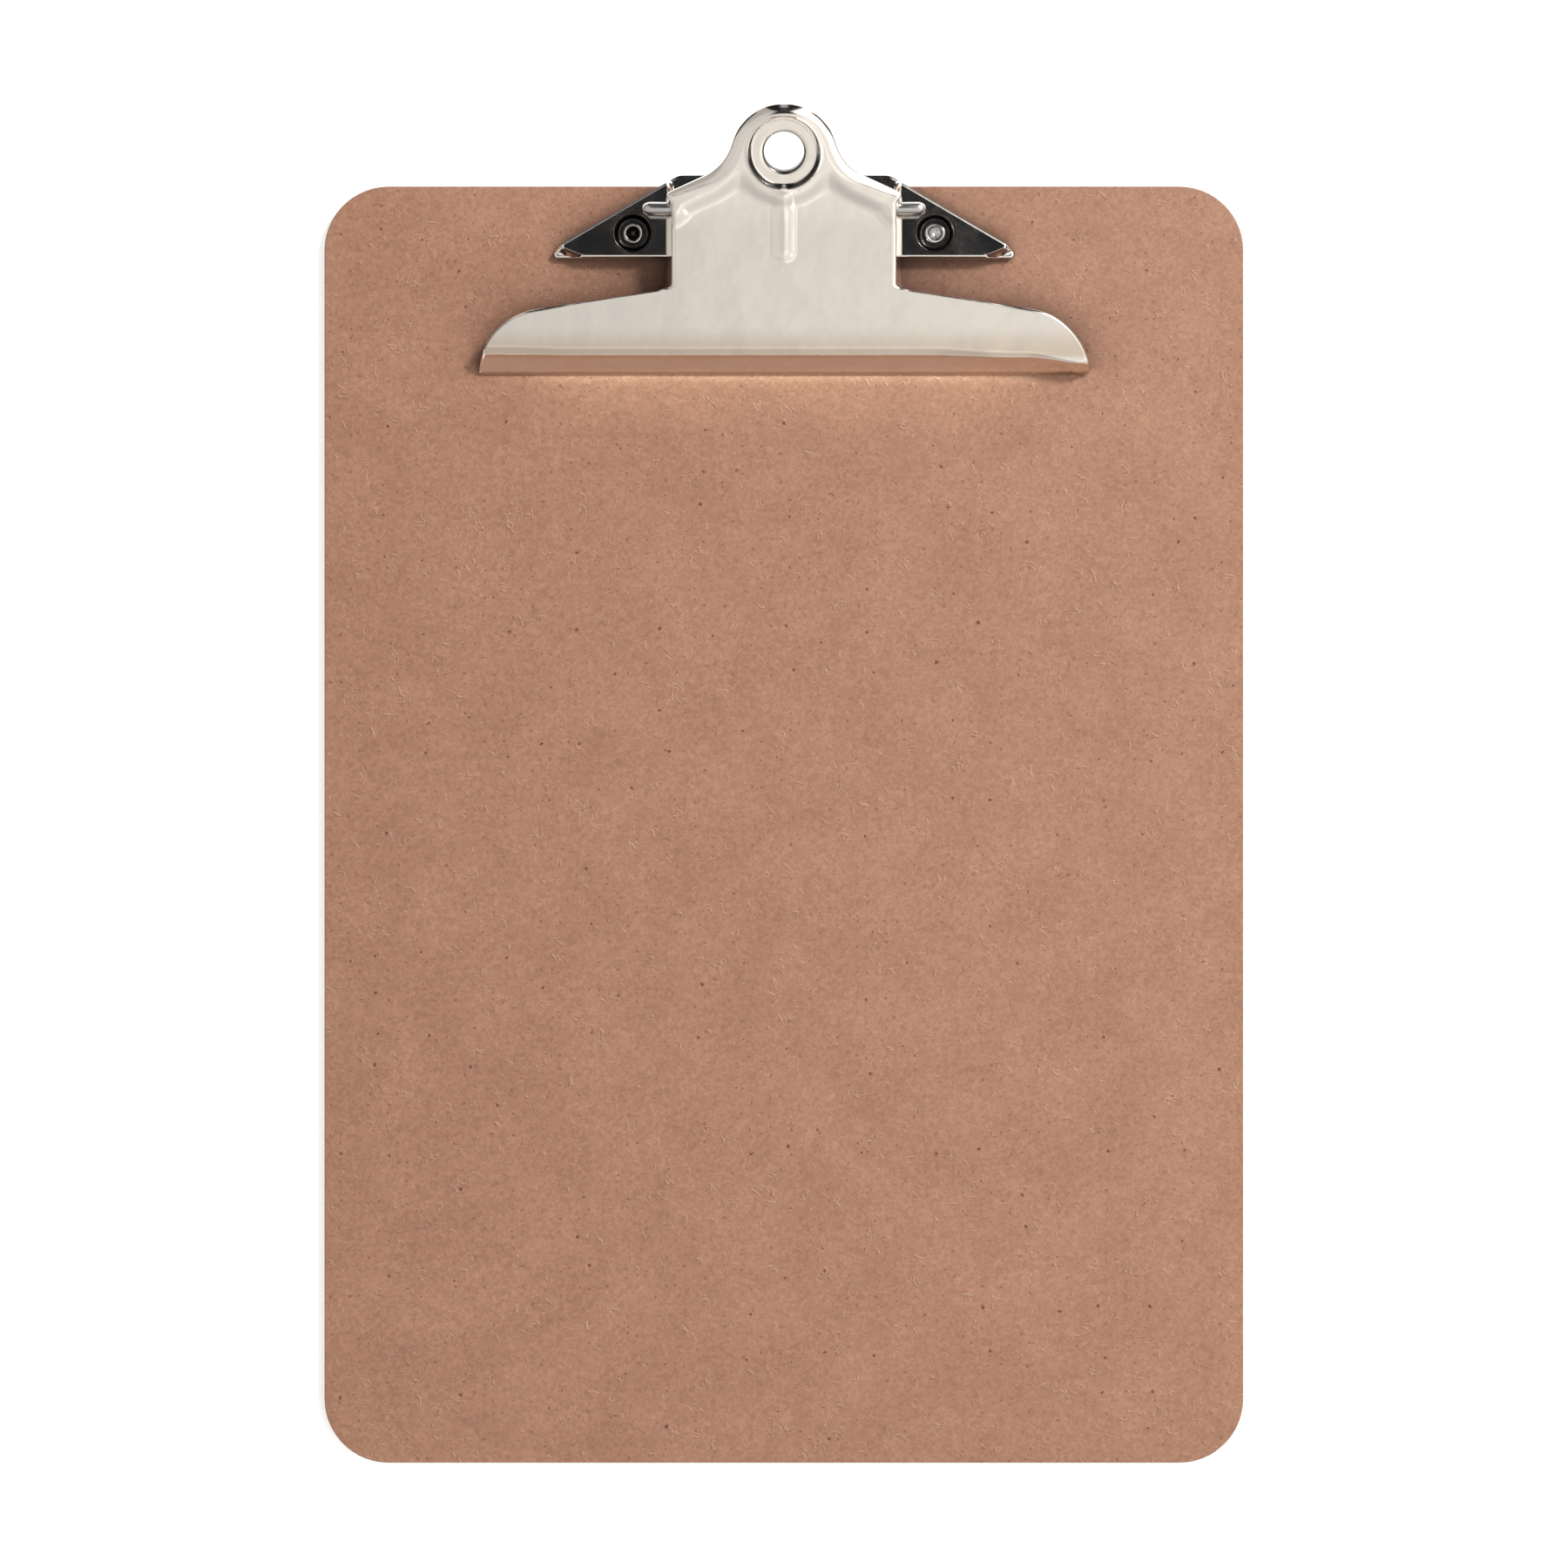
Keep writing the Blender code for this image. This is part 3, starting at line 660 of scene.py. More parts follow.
def hardboard():
    """Pressed wood fibre: a mottled face with specks and curls, torn edges and a screen-marked back."""
    nodes = Surface("hardboard")
    fine = nodes.noise(0.95, detail=4.0, roughness=0.62, distortion=0.8)
    colour = mottled(nodes, fine)
    colour = nodes.mix(nodes.times(fibre_marks(nodes), 0.46), colour, PALE_FIBRE)
    colour = nodes.mix(nodes.times(fibre_marks(nodes, (0.25, 0.2)), 0.56), colour, FURROW)
    small = spots(nodes, 0.42, 0.34, 3.1, 0.26)
    large = spots(nodes, 0.10, 0.46, 41.7, 0.45)
    colour = nodes.mix(nodes.times(small, 0.74), colour, SMALL_SPECK)
    colour = nodes.mix(nodes.times(large, 0.92), colour, LARGE_SPECK)
    colour = shaded_by_clip(nodes, colour)

    upward = nodes.facing()[2]
    cut_edge = nodes.ramp(nodes.absolute(upward), 0.75, 0.35)
    layers = nodes.noise(1.0, detail=4.0, roughness=0.7, vector=nodes.mapped(scale=(0.35, 0.35, 4.0)))
    colour = nodes.mix(cut_edge, colour, nodes.mix(nodes.ramp(layers, 0.3, 0.7), EDGE_DARK, EDGE_LIGHT))
    back = nodes.ramp(upward, -0.4, -0.8)
    weave = screen_marks(nodes)
    shade = nodes.mix(weave, (0.62, 0.60, 0.58), (0.96, 0.95, 0.94))
    colour = nodes.mix(back, colour, nodes.tinted(colour, shade))

    gloss = nodes.ramp(nodes.noise(0.4, detail=3.0), 0.3, 0.7, 0.50, 0.62)
    rough = nodes.plus(gloss, nodes.times(nodes.most(cut_edge, back), 0.3))
    nodes.shader_input(Base_Color=colour, Roughness=rough, Specular_IOR_Level=0.35)
    relief = nodes.bump(fine, 0.00005, 0.5)
    relief = nodes.bump(nodes.one_minus(nodes.most(small, large)), 0.00008, 0.5, relief)
    relief = nodes.bump(nodes.times(weave, back), 0.00025, 1.0, relief)
    nodes.shader_input(Normal=nodes.bump(nodes.times(layers, cut_edge), 0.00030, 1.0, relief))
    return nodes.material


# ---- metals ----

NICKEL = (0.865, 0.815, 0.757)
CHROME = (0.80, 0.79, 0.785)
PIN_STEEL = (0.58, 0.57, 0.56)
# painted shade: the left rivet's steel is darker than the right one's, as the lever beside it shades it
LEFT_RIVET_SHADED_STEEL = (0.50, 0.49, 0.48)
WIRE_STAINED, WIRE_BRIGHT = (0.30, 0.29, 0.28), (0.52, 0.51, 0.49)
DUST = (0.35, 0.33, 0.30)
# near-black of the painted shade in recesses
PAINTED_SHADE_DARK = (0.070, 0.065, 0.064)
# painted shade on the jaw: brown towards the crease, and dark along the lip's end
CREASE_SHADE_TINT = (0.84, 0.77, 0.70)
LIP_END_SHADE_TINT = (0.72, 0.62, 0.55)


def plated(name, colour, roughness, wear=0.5, scratch=1.0, painted_shade=None, painted_crease_shade=False):
    """Bright plating: faint smudges in its gloss, hairline scratches and a slight ripple.

    The shade function, when given, returns 1 where painted shade darkens the plating.
    """
    nodes = Surface(name)
    smudge = nodes.noise(0.09, detail=4.0, roughness=0.6, distortion=0.6)
    dust = nodes.noise(2.4, detail=3.0, roughness=0.7)
    dull = tuple(c * 0.96 for c in colour)
    tint = nodes.mix(nodes.ramp(smudge, 0.35, 0.8), colour, dull)
    tint = nodes.mix(nodes.times(nodes.ramp(dust, 0.62, 0.74), 0.25 * wear), tint, DUST)
    hair = hairlines(nodes)
    gloss = nodes.ramp(smudge, 0.35, 0.70, roughness, roughness * 1.55)
    gloss = nodes.plus(gloss, nodes.times(hair, 0.02 * scratch))
    gloss = nodes.plus(gloss, nodes.times(nodes.ramp(dust, 0.5, 0.8), 0.04 * wear))
    if painted_crease_shade:
        tint = painted_jaw_shade(nodes, tint)
    if painted_shade:
        # painted shade: the plating darkens where the mask is 1
        shade_mask = painted_shade(nodes)
        tint = nodes.mix(shade_mask, tint, PAINTED_SHADE_DARK)
        gloss = nodes.plus(gloss, nodes.times(shade_mask, 0.12))
    nodes.shader_input(Base_Color=tint, Metallic=1.0, Roughness=gloss)
    relief = nodes.bump(nodes.noise(0.11, detail=2.0), 0.00022, 0.35)
    relief = nodes.bump(hair, 0.0000008, scratch, relief)
    nodes.shader_input(Normal=nodes.bump(dust, 0.000006, wear, relief))
    return nodes.material


def hairlines(nodes):
    """Fine scratches in three directions."""
    lines = 0.0
    for turn, shift in ((0.35, 3.0), (-0.5, 11.0), (1.4, 23.0)):
        place = nodes.mapped(scale=(0.05, 1.6, 1.6), turn=turn, shift=(shift, shift, shift))
        lines = nodes.most(nodes.ramp(nodes.noise(1.0, detail=2.0, vector=place), 0.72, 0.82), lines)
    return lines


def painted_jaw_shade(nodes, tint):
    """Painted brown shade that deepens towards the jaw's crease, like the board it reflects, and a painted
    dark line of shadow along the lip's end.
    """
    ahead = nodes.times(nodes.axes(nodes.place)[1], MM)
    crease, end = -CREASE_REACH * MM, -JAW_REACH * MM
    on_lip = nodes.ramp(ahead, crease - 2.0, crease - 0.8, 0.08, 1.0)
    # painted shade towards the crease, brown like the board
    crease_shade = nodes.times(nodes.ramp(ahead, crease + 6.7, crease + 0.2), on_lip)
    tint = nodes.mix(crease_shade, tint, nodes.tinted(tint, CREASE_SHADE_TINT))
    # painted shadow: a dark line along the lip's lower end, where it meets the board
    return nodes.mix(nodes.ramp(ahead, end + 0.75, end + 0.35), tint, nodes.tinted(tint, LIP_END_SHADE_TINT))


def distance_from(nodes, centre, tilt=0.0):
    """Millimetres from an axis through a point of the clip's frame, along Z leant back by the tilt."""
    moved = nodes.vector("SUBTRACT", nodes.place, tuple(centre))
    level = nodes.add("ShaderNodeVectorRotate", {"Vector": moved, "Angle": -tilt}, rotation_type="X_AXIS")
    flat = nodes.vector("MULTIPLY", level.outputs["Vector"], (MM, MM, 0))
    return nodes.add("ShaderNodeVectorMath", {0: flat}, operation="LENGTH").outputs["Value"]


def hole_shade(nodes):
    """Painted shade on the wall of the hanging hole, and in the lower half of the groove round its seat."""
    away = distance_from(nodes, (0, HOLE_REACH, head_height(HOLE_REACH)), HEAD_SLOPE)
    wall = nodes.times(nodes.ramp(away, 5.5, 5.2), 0.92)
    moved = nodes.vector("SUBTRACT", nodes.place, (0, HOLE_REACH, 0))
    x, y = (nodes.times(axis, MM) for axis in nodes.axes(moved)[:2])
    # painted shade in the lower half of the groove round the seat
    groove = nodes.times(nodes.ramp(away, 7.9, 8.1), nodes.ramp(away, 9.15, 8.95))
    low_side = nodes.times(nodes.ramp(y, 1.5, -2.5), nodes.ramp(nodes.absolute(x), 0.5, 1.0))
    return nodes.most(wall, nodes.times(groove, low_side, 0.95))


def rivet_hollow_shade(nodes):
    """Painted shade inside and round a rivet's rolled end."""
    away = distance_from(nodes, (0, 0, 0))
    return nodes.most(nodes.ramp(away, 2.0, 1.7), nodes.ramp(away, 2.4, 2.6))


def rivet_groove_shade(nodes):
    """Painted shade in the groove between a rivet's rolled end and its crumpled middle."""
    away = distance_from(nodes, (0, 0, 0))
    return nodes.times(nodes.ramp(away, 1.25, 1.5), nodes.ramp(away, 2.1, 1.9), 0.85)


def dimple_and_rear_shade(nodes):
    """Painted shade in the two rivet dimples, and on the skirt's side that faces the rear."""
    marks = 0.0
    for side in (-1, 1):
        away = distance_from(nodes, (side * abs(RIVET.x), RIVET.y, 0))
        marks = nodes.most(nodes.ramp(away, 5.6, 5.2), marks)
    patch = nodes.noise(0.7, detail=3.0, distortion=0.5)
    marks = nodes.times(marks, nodes.ramp(patch, 0.25, 0.6, 0.93, 1.0))
    # painted shade: surfaces that face the rear are darker
    return nodes.most(marks, nodes.ramp(nodes.facing()[1], 0.12, 0.40, 0.0, 0.9))


def drawn_wire():
    """Spring wire: a little darker, with draw lines and oil stains."""
    nodes = Surface("spring_steel")
    stain = nodes.noise(0.8, detail=3.0, distortion=0.5)
    tint = nodes.mix(nodes.ramp(stain, 0.3, 0.7), WIRE_STAINED, WIRE_BRIGHT)
    lines = nodes.noise(6.0, detail=2.0, vector=nodes.mapped(scale=(1.0, 0.15, 0.15)))
    nodes.shader_input(Base_Color=tint, Metallic=1.0, Roughness=nodes.ramp(stain, 0.3, 0.7, 0.24, 0.42))
    nodes.shader_input(Normal=nodes.bump(lines, 0.00002, 0.6))
    return nodes.material


# ---- board ----

def board_mesh(material):
    """The panel's flat slab with eased edges, round its own middle."""
    half_width, half_length = board_high.x, board_high.y
    corners = mirrored([(half_width, -half_length, BOARD_CORNER), (half_width, half_length, BOARD_CORNER)])
    outline = rounded(corners, 0.002)
    curve = bpy.data.curves.new("board_panel", "CURVE")
    curve.dimensions = "2D"
    curve.fill_mode = "BOTH"
    curve.extrude = (board_high.z - board_low.z) / 2 - BOARD_EASE
    curve.bevel_depth = BOARD_EASE
    curve.offset = -BOARD_EASE
    curve.bevel_resolution = 3
    spline = curve.splines.new("POLY")
    spline.points.add(len(outline) - 1)
    for point, (x, y) in zip(spline.points, outline):
        point.co = (x, y, 0, 1)
    spline.use_cyclic_u = True
    guide = placed("board_guide", curve)
    bpy.context.view_layer.update()
    mesh = bpy.data.meshes.new_from_object(guide.evaluated_get(bpy.context.evaluated_depsgraph_get()))
    bpy.data.objects.remove(guide)
    with editing(mesh) as shape:
        bmesh.ops.remove_doubles(shape, verts=shape.verts, dist=1e-6)
        bmesh.ops.recalc_face_normals(shape, faces=shape.faces)
    mesh.materials.clear()
    mesh.materials.append(material)
    return mesh


def make_board(material):
    """A panel with eased edges and two rivet holes, counterbored from the back."""
    board = placed("board_panel", board_mesh(material), (0, 0, (board_low.z + board_high.z) / 2))
    cutters = []
    for side in (-1, 1):
        for radius, high in ((RIVET_BORE, 1.0), (COUNTERBORE, board_low.z + COUNTERBORE_DEPTH)):
            profile = [(0, -1.0), (radius, -1.0), (radius, high), (0, high)]
            at = (side * abs(RIVET.x), PIN.y + RIVET.y, 0)
            cutters.append(turned("rivet_hole", profile, material, 48, at))
    for cutter in cutters:
        cut = board.modifiers.new("hole", "BOOLEAN")
        cut.operation = "DIFFERENCE"
        cut.object = cutter
    apply_modifiers(board)
    for cutter in cutters:
        bpy.data.objects.remove(cutter)
    board.data.shade_smooth()
    board.data.set_sharp_from_angle(angle=math.radians(40))
    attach(board, "board_and_base")
    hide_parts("board")


# ---- lever ----

# the right half of the lever seen from above, from the jaw's edge to the head: (x, y, corner radius)
LEVER_CORNERS = [
    (JAW_HALF_WIDTH, -JAW_REACH, 0.0006),
    (0.0739, -0.0269, 0.0172),
    (LEVER_HALF_WIDTH, -0.0202, 0.0020),
    (LEVER_HALF_WIDTH, FLANGE_REAR, 0.0024),
    (0.0146, 0.0096, 0.0128),
    (0.0097, HEAD_REACH, 0.0130),
]
LEVER_OUTLINE = rounded(mirrored(LEVER_CORNERS), 0.0006)
SHOULDER_OUTLINE = LEVER_OUTLINE[LEVER_OUTLINE[:, 1] > 0.0012]


def head_height(y):
    return LEVER_ABOVE_PIN + y * math.tan(HEAD_SLOPE)


def crease_line(x):
    """Where the jaw's lip starts to turn down, along the jaw: it runs out towards the right tip."""
    right = 0.0010 * smooth((x - 0.036) / 0.020) + 0.0020 * smooth((x - 0.060) / 0.014)
    return -CREASE_REACH - right + 0.0004 * smooth((-x - 0.052) / 0.016)


def body_height(y):
    """The unembossed top face from the jaw's crease to the head, with its soft bend over the pin."""
    slope = (LEVER_ABOVE_PIN + CREASE_DROP) / CREASE_REACH
    half = 0.0066
    bend = (math.tan(HEAD_SLOPE) - slope) / (4 * half)
    over = np.clip(y + half, 0, 2 * half)
    beyond = np.maximum(y - half, 0)
    steeper = bend * over ** 2 + (math.tan(HEAD_SLOPE) - slope) * beyond
    return LEVER_ABOVE_PIN + slope * y + steeper - bend * half ** 2


def emboss(x, y):
    """Height of the pressed relief: a band along the shoulders, the head's disc and the rib below it."""
    plan = np.stack([x, y], 1)
    near = plan[:, 1] > RELIEF_FRONT
    depth = np.full(len(plan), 1.0)
    for point in SHOULDER_OUTLINE:
        gap = np.linalg.norm(plan[near] - point, axis=1)
        depth[near] = np.minimum(depth[near], gap)
    band = depth - BAND_WIDTH
    disc = np.hypot(x, (y - HOLE_REACH) * 1.03) - DISC_RADIUS
    overlap = np.clip(EMBOSS_JOIN - np.abs(band - disc), 0, None)
    joined = np.minimum(band, disc) - overlap ** 2 / (4 * EMBOSS_JOIN)
    wide = EMBOSS * smooth(0.5 - joined / EMBOSS_BLEND)
    across = np.hypot(x, y - np.clip(y, RIB_END, HOLE_REACH)) / RIB_HALF_WIDTH
    ridge = RIB_HEIGHT * np.clip(1 - across ** 2, 0, 1) * smooth((0.0052 - y) / 0.0050)
    return wide + ridge


def lever_level(x, y):
    """The top face without its relief: the lip falls away from the crease to just above the board."""
    crease = crease_line(x)
    body = body_height(y)
    top = body_height(crease)
    bottom = BOARD_FACE + LEVER_SHEET * 0.75
    lip = bottom + (y + JAW_REACH) * (top - bottom) / (crease + JAW_REACH)
    overlap = np.clip(CREASE_BLEND - np.abs(body - lip), 0, None)
    return np.minimum(body, lip) - overlap ** 2 / (4 * CREASE_BLEND)


def lever_height(x, y):
    return lever_level(x, y) + emboss(x, y)


def lever_edge(x, y):
    """The bend along the lever's outline: full flanges at the sides, a rim at the head, eased jaw edges."""
    small, least_turn = 0.0003, math.radians(5)
    flanged = float(smooth((y - FLANGE_FRONT) / FLANGE_FADE)) * (abs(x) < LEVER_HALF_WIDTH + 0.003)
    if flanged < 0.02:
        lean = JAW_EDGE_LEAN * float(smooth((abs(x) - 0.050) / 0.012)) * (y > -JAW_REACH + 0.0002)
        return small + small * (lean > 0), small, lean, lean, least_turn, None
    side = float(smooth((FLANGE_REAR - y) / FLANGE_REAR))
    bends = (EDGE_RADII, EDGE_TIGHT, EDGE_EASY)
    radius, tight, easy = (float(np.interp(y, EDGE_Y, values)) for values in bends)
    radius = small + flanged * (radius - small)
    flange_low = float(np.interp(y, [-0.0200, -0.0120], [-0.0030, -FLANGE_DEPTH]))
    rim_low = float(body_height(y)) - RIM_DEPTH
    low = rim_low + side * (flange_low - rim_low)
    bare = float(body_height(y)) - 0.0007
    fall = max(bare - low, small)
    lean = math.atan2(fall, FLANGE_FLARE) * side + (math.pi / 2) * (1 - side)
    return radius, min(tight, radius), math.radians(easy), lean, least_turn, bare - flanged * fall


def seat_profile():
    """The pressed seat round the hanging hole, from the disc in to the collar's lower edge."""
    floor = -0.0010
    profile = [(0.0091, 0.0)]
    profile += arc((0.0090, -0.0003), 0.0003, 90, 139, 6)
    profile += arc((0.0079, floor + 0.0003), 0.0003, -41, -90, 6)
    profile += [(0.0076, floor), (0.0068, floor), (0.0061, floor)]
    edge = 0.0009
    profile += arc((HOLE_RADIUS + edge, floor - edge), edge, 90, 180, 8)
    profile += [(HOLE_RADIUS, floor - 0.0016), (HOLE_RADIUS, floor - 0.0026)]
    return profile


def seat_surroundings():
    """Rings of points round the seat, so that the disc shades evenly."""
    points = []
    for k, radius in enumerate(np.arange(0.00945, 0.0140, 0.00040)):
        turn = np.linspace(0, 2 * math.pi, 129)[:-1] + (k % 2) * math.pi / 128
        x, y = radius * np.cos(turn), HOLE_REACH + radius * math.cos(HEAD_SLOPE) * np.sin(turn)
        points.append(np.stack([x, y], 1))
    return np.concatenate(points)


def lever_rows():
    """The rows (y, x spacing) of the lever's face: close together at the crease and over the relief."""
    rows, y = [], -JAW_REACH
    while y < HEAD_REACH:
        plain = y < RELIEF_FRONT
        rows.append((y, 0.0012 if plain else 0.00045))
        at_crease = CREASE_ROWS[0] < y < CREASE_ROWS[1]
        y += 0.00025 if at_crease else (0.0010 if plain else 0.00042)
    return rows


def make_lever(material):
    """The lever's stamping: jaw, body and head in one bent and embossed sheet, with its flanges' lobes."""
    seat_centre = (0, HOLE_REACH, head_height(HOLE_REACH) + EMBOSS)
    seat = ring_patch(seat_centre, HEAD_SLOPE, seat_profile(), 112)
    lever = formed_sheet(
        "lever_stamping", LEVER_OUTLINE, lever_height, lever_edge, LEVER_SHEET, lever_rows(),
        seat_surroundings(), [seat], material, level=lever_level,
    )
    ease_edges(lever, 0.00014)
    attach(lever, "lever")
    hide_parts("clip_lever")
    for word, side in SIDES:
        make_lobe(f"lever_lobe_{word}", side, material)


def make_lobe(name, side, material):
    """The rounded rear end of a side flange, sprung slightly outwards."""
    corners = [
        (0.0002, -FLANGE_DEPTH + 0.00002, 0.0002), (0.0026, -FLANGE_DEPTH + 0.00002, 0.0026),
        (0.0069, 0.0004, 0.0026), (0.0060, 0.0048, 0.0020), (0.0002, 0.0048, 0.0002),
    ]
    outline = rounded(corners, 0.0003)
    inner = LEVER_HALF_WIDTH - LEVER_SHEET + 0.00004

    def place(layer, y, z):
        lean = (z + FLANGE_DEPTH) * FLANGE_FLARE / (LEVER_ABOVE_PIN + FLANGE_DEPTH)
        flare = 0.0009 * max(0.0, (y - FLANGE_REAR) / 0.0039) ** 2
        return side * (inner - lean + flare + layer * (LEVER_SHEET - 0.00008)), y, z

    lobe = small_plate(name, outline, place, material)
    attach(lobe, "lever")


# ---- base plate ----

# the right half of the base seen from above: (x, y, corner radius)
BASE_CORNERS = [
    (0.0568, BASE_FRONT, 0.0012), (0.0574, -0.0103, 0.0010),
    (0.0550, -0.0080, 0.0020), (0.0262, BASE_REAR, 0.0040),
]

# each wing's front corner is pressed down beyond a fold
TIP_FOLD = (Vector((0.0482, BASE_FRONT)), Vector((0.0556, BASE_FRONT + 0.0030)))
TIP_SLOPE = 1.3


def tip_fold_points():
    """Points on both sides of each wing's fold, which keep it crisp."""
    along = TIP_FOLD[1] - TIP_FOLD[0]
    across = Vector((along.y, -along.x)).normalized()
    points = []
    for share in np.linspace(0.08, 0.92, 30):
        for offset in (-0.00014, 0.0, 0.00014):
            point = TIP_FOLD[0] + along * share + across * offset
            points += [(point.x, point.y), (-point.x, point.y)]
    return np.array(points)


def base_height(x, y):
    """The flat top, with a facet pressed down across each wing's front corner."""
    along = (TIP_FOLD[1] - TIP_FOLD[0]).normalized()
    beyond = (np.abs(x) - TIP_FOLD[0].x) * along.y - (y - TIP_FOLD[0].y) * along.x
    drop = np.clip(beyond, 0, 0.0016)
    return BASE_TOP - TIP_SLOPE * drop


def base_edge(x, y):
    """The base's skirt stands on the board all round."""
    return BASE_BEND, 0.00025, math.radians(45), math.radians(88), math.radians(20), BASE_BOTTOM


def dimple_profile():
    floor = -DIMPLE_DEPTH
    profile = [(0.0050, 0.0)]
    profile += arc((0.0049, -0.00025), 0.00025, 90, 158, 6)
    profile += arc((0.0035, floor + 0.00025), 0.00025, -22, -90, 6)
    profile += [(0.0030, floor), (0.0024, floor), (0.0018, floor)]
    return profile


def make_base(material):
    """The base plate: an upside-down pan with two wings, dimples for the rivets and ears for the pin."""
    outline = rounded(mirrored(BASE_CORNERS), 0.0006)
    rows = [(y, 0.0007) for y in np.arange(BASE_FRONT, BASE_REAR, 0.0007)]
    dimples, windows = [], []
    for side in (-1, 1):
        dimples.append(ring_patch((side * abs(RIVET.x), RIVET.y, BASE_TOP), 0, dimple_profile(), 72))
        x0, x1 = sorted((side * WINDOW_START, side * EAR_INSIDE))
        corners = [(x0, -EAR_HALF), (x1, -EAR_HALF), (x1, EAR_HALF), (x0, EAR_HALF)]
        windows.append(rounded([(x, y, 0.0006) for x, y in corners]))
    base = formed_sheet(
        "base_stamping", outline, base_height, base_edge, BASE_SHEET, rows, tip_fold_points(), dimples,
        material, windows,
    )
    ease_edges(base, 0.00012)
    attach(base, "board_and_base")
    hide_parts("base_plate")
    for word, side in SIDES:
        make_ear(f"base_ear_{word}", side, material)


def make_ear(name, side, material):
    """An ear folded up from the base, with the pin through it."""
    bottom = BASE_TOP - BASE_SHEET * 0.6
    corners = [(-EAR_HALF, bottom, 0.0003), (EAR_HALF, bottom, 0.0003)]
    corners += [(EAR_TOP, EAR_TOP, 0.0026), (-EAR_TOP, EAR_TOP, 0.0026)]
    outline = rounded(corners, 0.0004)

    def place(layer, y, z):
        return side * (EAR_INSIDE + layer * EAR_SHEET), y, z

    ear = small_plate(name, outline, place, material)
    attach(ear, "board_and_base")


# ---- pin, rivets, springs ----

def make_pin(material):
    """The hinge pin, with domed ends and a small shoulder where each end was struck."""
    half = pin_high.x
    dome = 0.0013
    end = [(0, half)]
    end += [(PIN_RADIUS - dome * (1 - math.cos(a)), half - 1.6 * dome * (1 - math.sin(a)))
            for a in np.linspace(math.pi / 2, 0, 10)]
    end[1] = (PIN_RADIUS - dome, half)
    profile = [(r, -x) for r, x in end] + [(PIN_RADIUS, x) for x in np.linspace(-0.028, 0.028, 9)]
    profile += [(r, x) for r, x in end[::-1]]
    pin = turned("pin_rod", profile, material, 48, turn=(0, math.pi / 2, 0))
    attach(pin, "board_and_base")
    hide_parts("hinge_pin")


def make_rivet(word, side, material):
    """A tubular rivet: head in the board's back, rolled and slightly split end in the wing's dimple."""
    low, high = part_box(f"rivet_{word}")
    head, back = (high.x - low.x) / 2, low.z - PIN.z
    inner_face, floor = back + RIVET_HEAD, BASE_TOP - DIMPLE_DEPTH
    profile = [(0, back), (head - 0.0005, back), (head, back + 0.0002), (head, inner_face - 0.0003)]
    profile += [(head - 0.0003, inner_face), (RIVET_TUBE, inner_face), (RIVET_TUBE, floor)]
    profile += [(0.0023, floor + 0.00005)]
    profile += arc((0.00205, floor + 0.00055), 0.00055, -55, 180, 14)
    profile += [(0.00145, floor + 0.0003), (0.0012, floor - 0.0001), (0.0010, floor - 0.0005)]
    profile += [(0.0006, floor - 0.0008), (0, floor - 0.0009)]
    lobes = 6 if side > 0 else 5

    def wobble(radius, z, angle):
        if z < floor - 0.001 or radius > 0.0027:
            return radius, z
        split = 0.5 + 0.5 * math.cos(lobes * angle + side)
        inner = smooth((0.0019 - radius) / 0.0009)
        uneven = 0.00006 * math.sin(2 * angle + 1.3 * side) + 0.00005 * math.sin(3 * angle + side)
        return radius + uneven - inner * 0.00022 * split, z + uneven - 0.00025 * inner * split

    rivet = turned(f"rivet_clinch_{word}", profile, material, 72,
                   (side * abs(RIVET.x), PIN.y + RIVET.y, PIN.z), wobble=wobble)
    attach(rivet, "board_and_base")
    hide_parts(f"rivet_{word}")


def make_spring(word, side, material):
    """A torsion spring: its outer leg stands on the base, and its inner leg follows the lever's head."""
    wire, coil, pitch, start_x, turns = 0.00075, 0.00265, 0.00172, 0.0180, 4
    base_end = (0.0081, BASE_TOP + wire + 0.00015)
    under = head_height(0.0110) - (LEVER_SHEET + wire + 0.00015) / math.cos(HEAD_SLOPE)
    lever_end = (0.0110, under)

    def leaves(point, sign):
        return math.atan2(point[1], point[0]) + sign * math.acos(coil / math.hypot(*point))

    start, end = leaves(base_end, -1), leaves(lever_end, 1) - 2 * math.pi * (turns + 1)
    path = [(start_x, *base_end)]
    for angle in np.linspace(start, end, 220):
        x = start_x - pitch * (start - angle) / (2 * math.pi)
        path.append((x, coil * math.cos(angle), coil * math.sin(angle)))
    path.append((path[-1][0], *lever_end))
    path = densified([Vector((side * x, y, z)) for x, y, z in path], 0.0004)
    spring = tube(f"spring_wire_{word}", path, wire, 14, material)
    bpy.context.view_layer.update()
    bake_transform(spring)
    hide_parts(f"torsion_spring_{word}")


def densified(path, step):
    """The path with its long straight stretches cut up."""
    points = []
    for here, there in zip(path, path[1:]):
        pieces = max(1, math.ceil((there - here).length / step))
        points += [here.lerp(there, k / pieces) for k in range(pieces)]
    return points + [path[-1]]


def tube(name, path, radius, sides, material):
    """A round wire along a path, with domed ends, swept without twisting."""
    vertices, rings = [], []
    tangent = (path[1] - path[0]).normalized()
    across = tangent.orthogonal().normalized()
    last = len(path) - 1
    for index, point in enumerate(path):
        new = (path[min(index + 1, last)] - path[max(index - 1, 0)]).normalized()
        across = (across - new * across.dot(new)).normalized()
        up = new.cross(across)
        from_end = min(index, last - index)
        shrink = (0.55, 0.88)[from_end] if from_end < 2 else 1.0
        rings.append(numbered(len(vertices), sides))
        for angle in around(sides):
            vertices.append(point + (across * math.cos(angle) + up * math.sin(angle)) * radius * shrink)
    faces = strips(rings) + [rings[0][::-1], rings[-1]]
    return new_object(name, vertices, faces, material)


# ---- floor, lights, camera ----

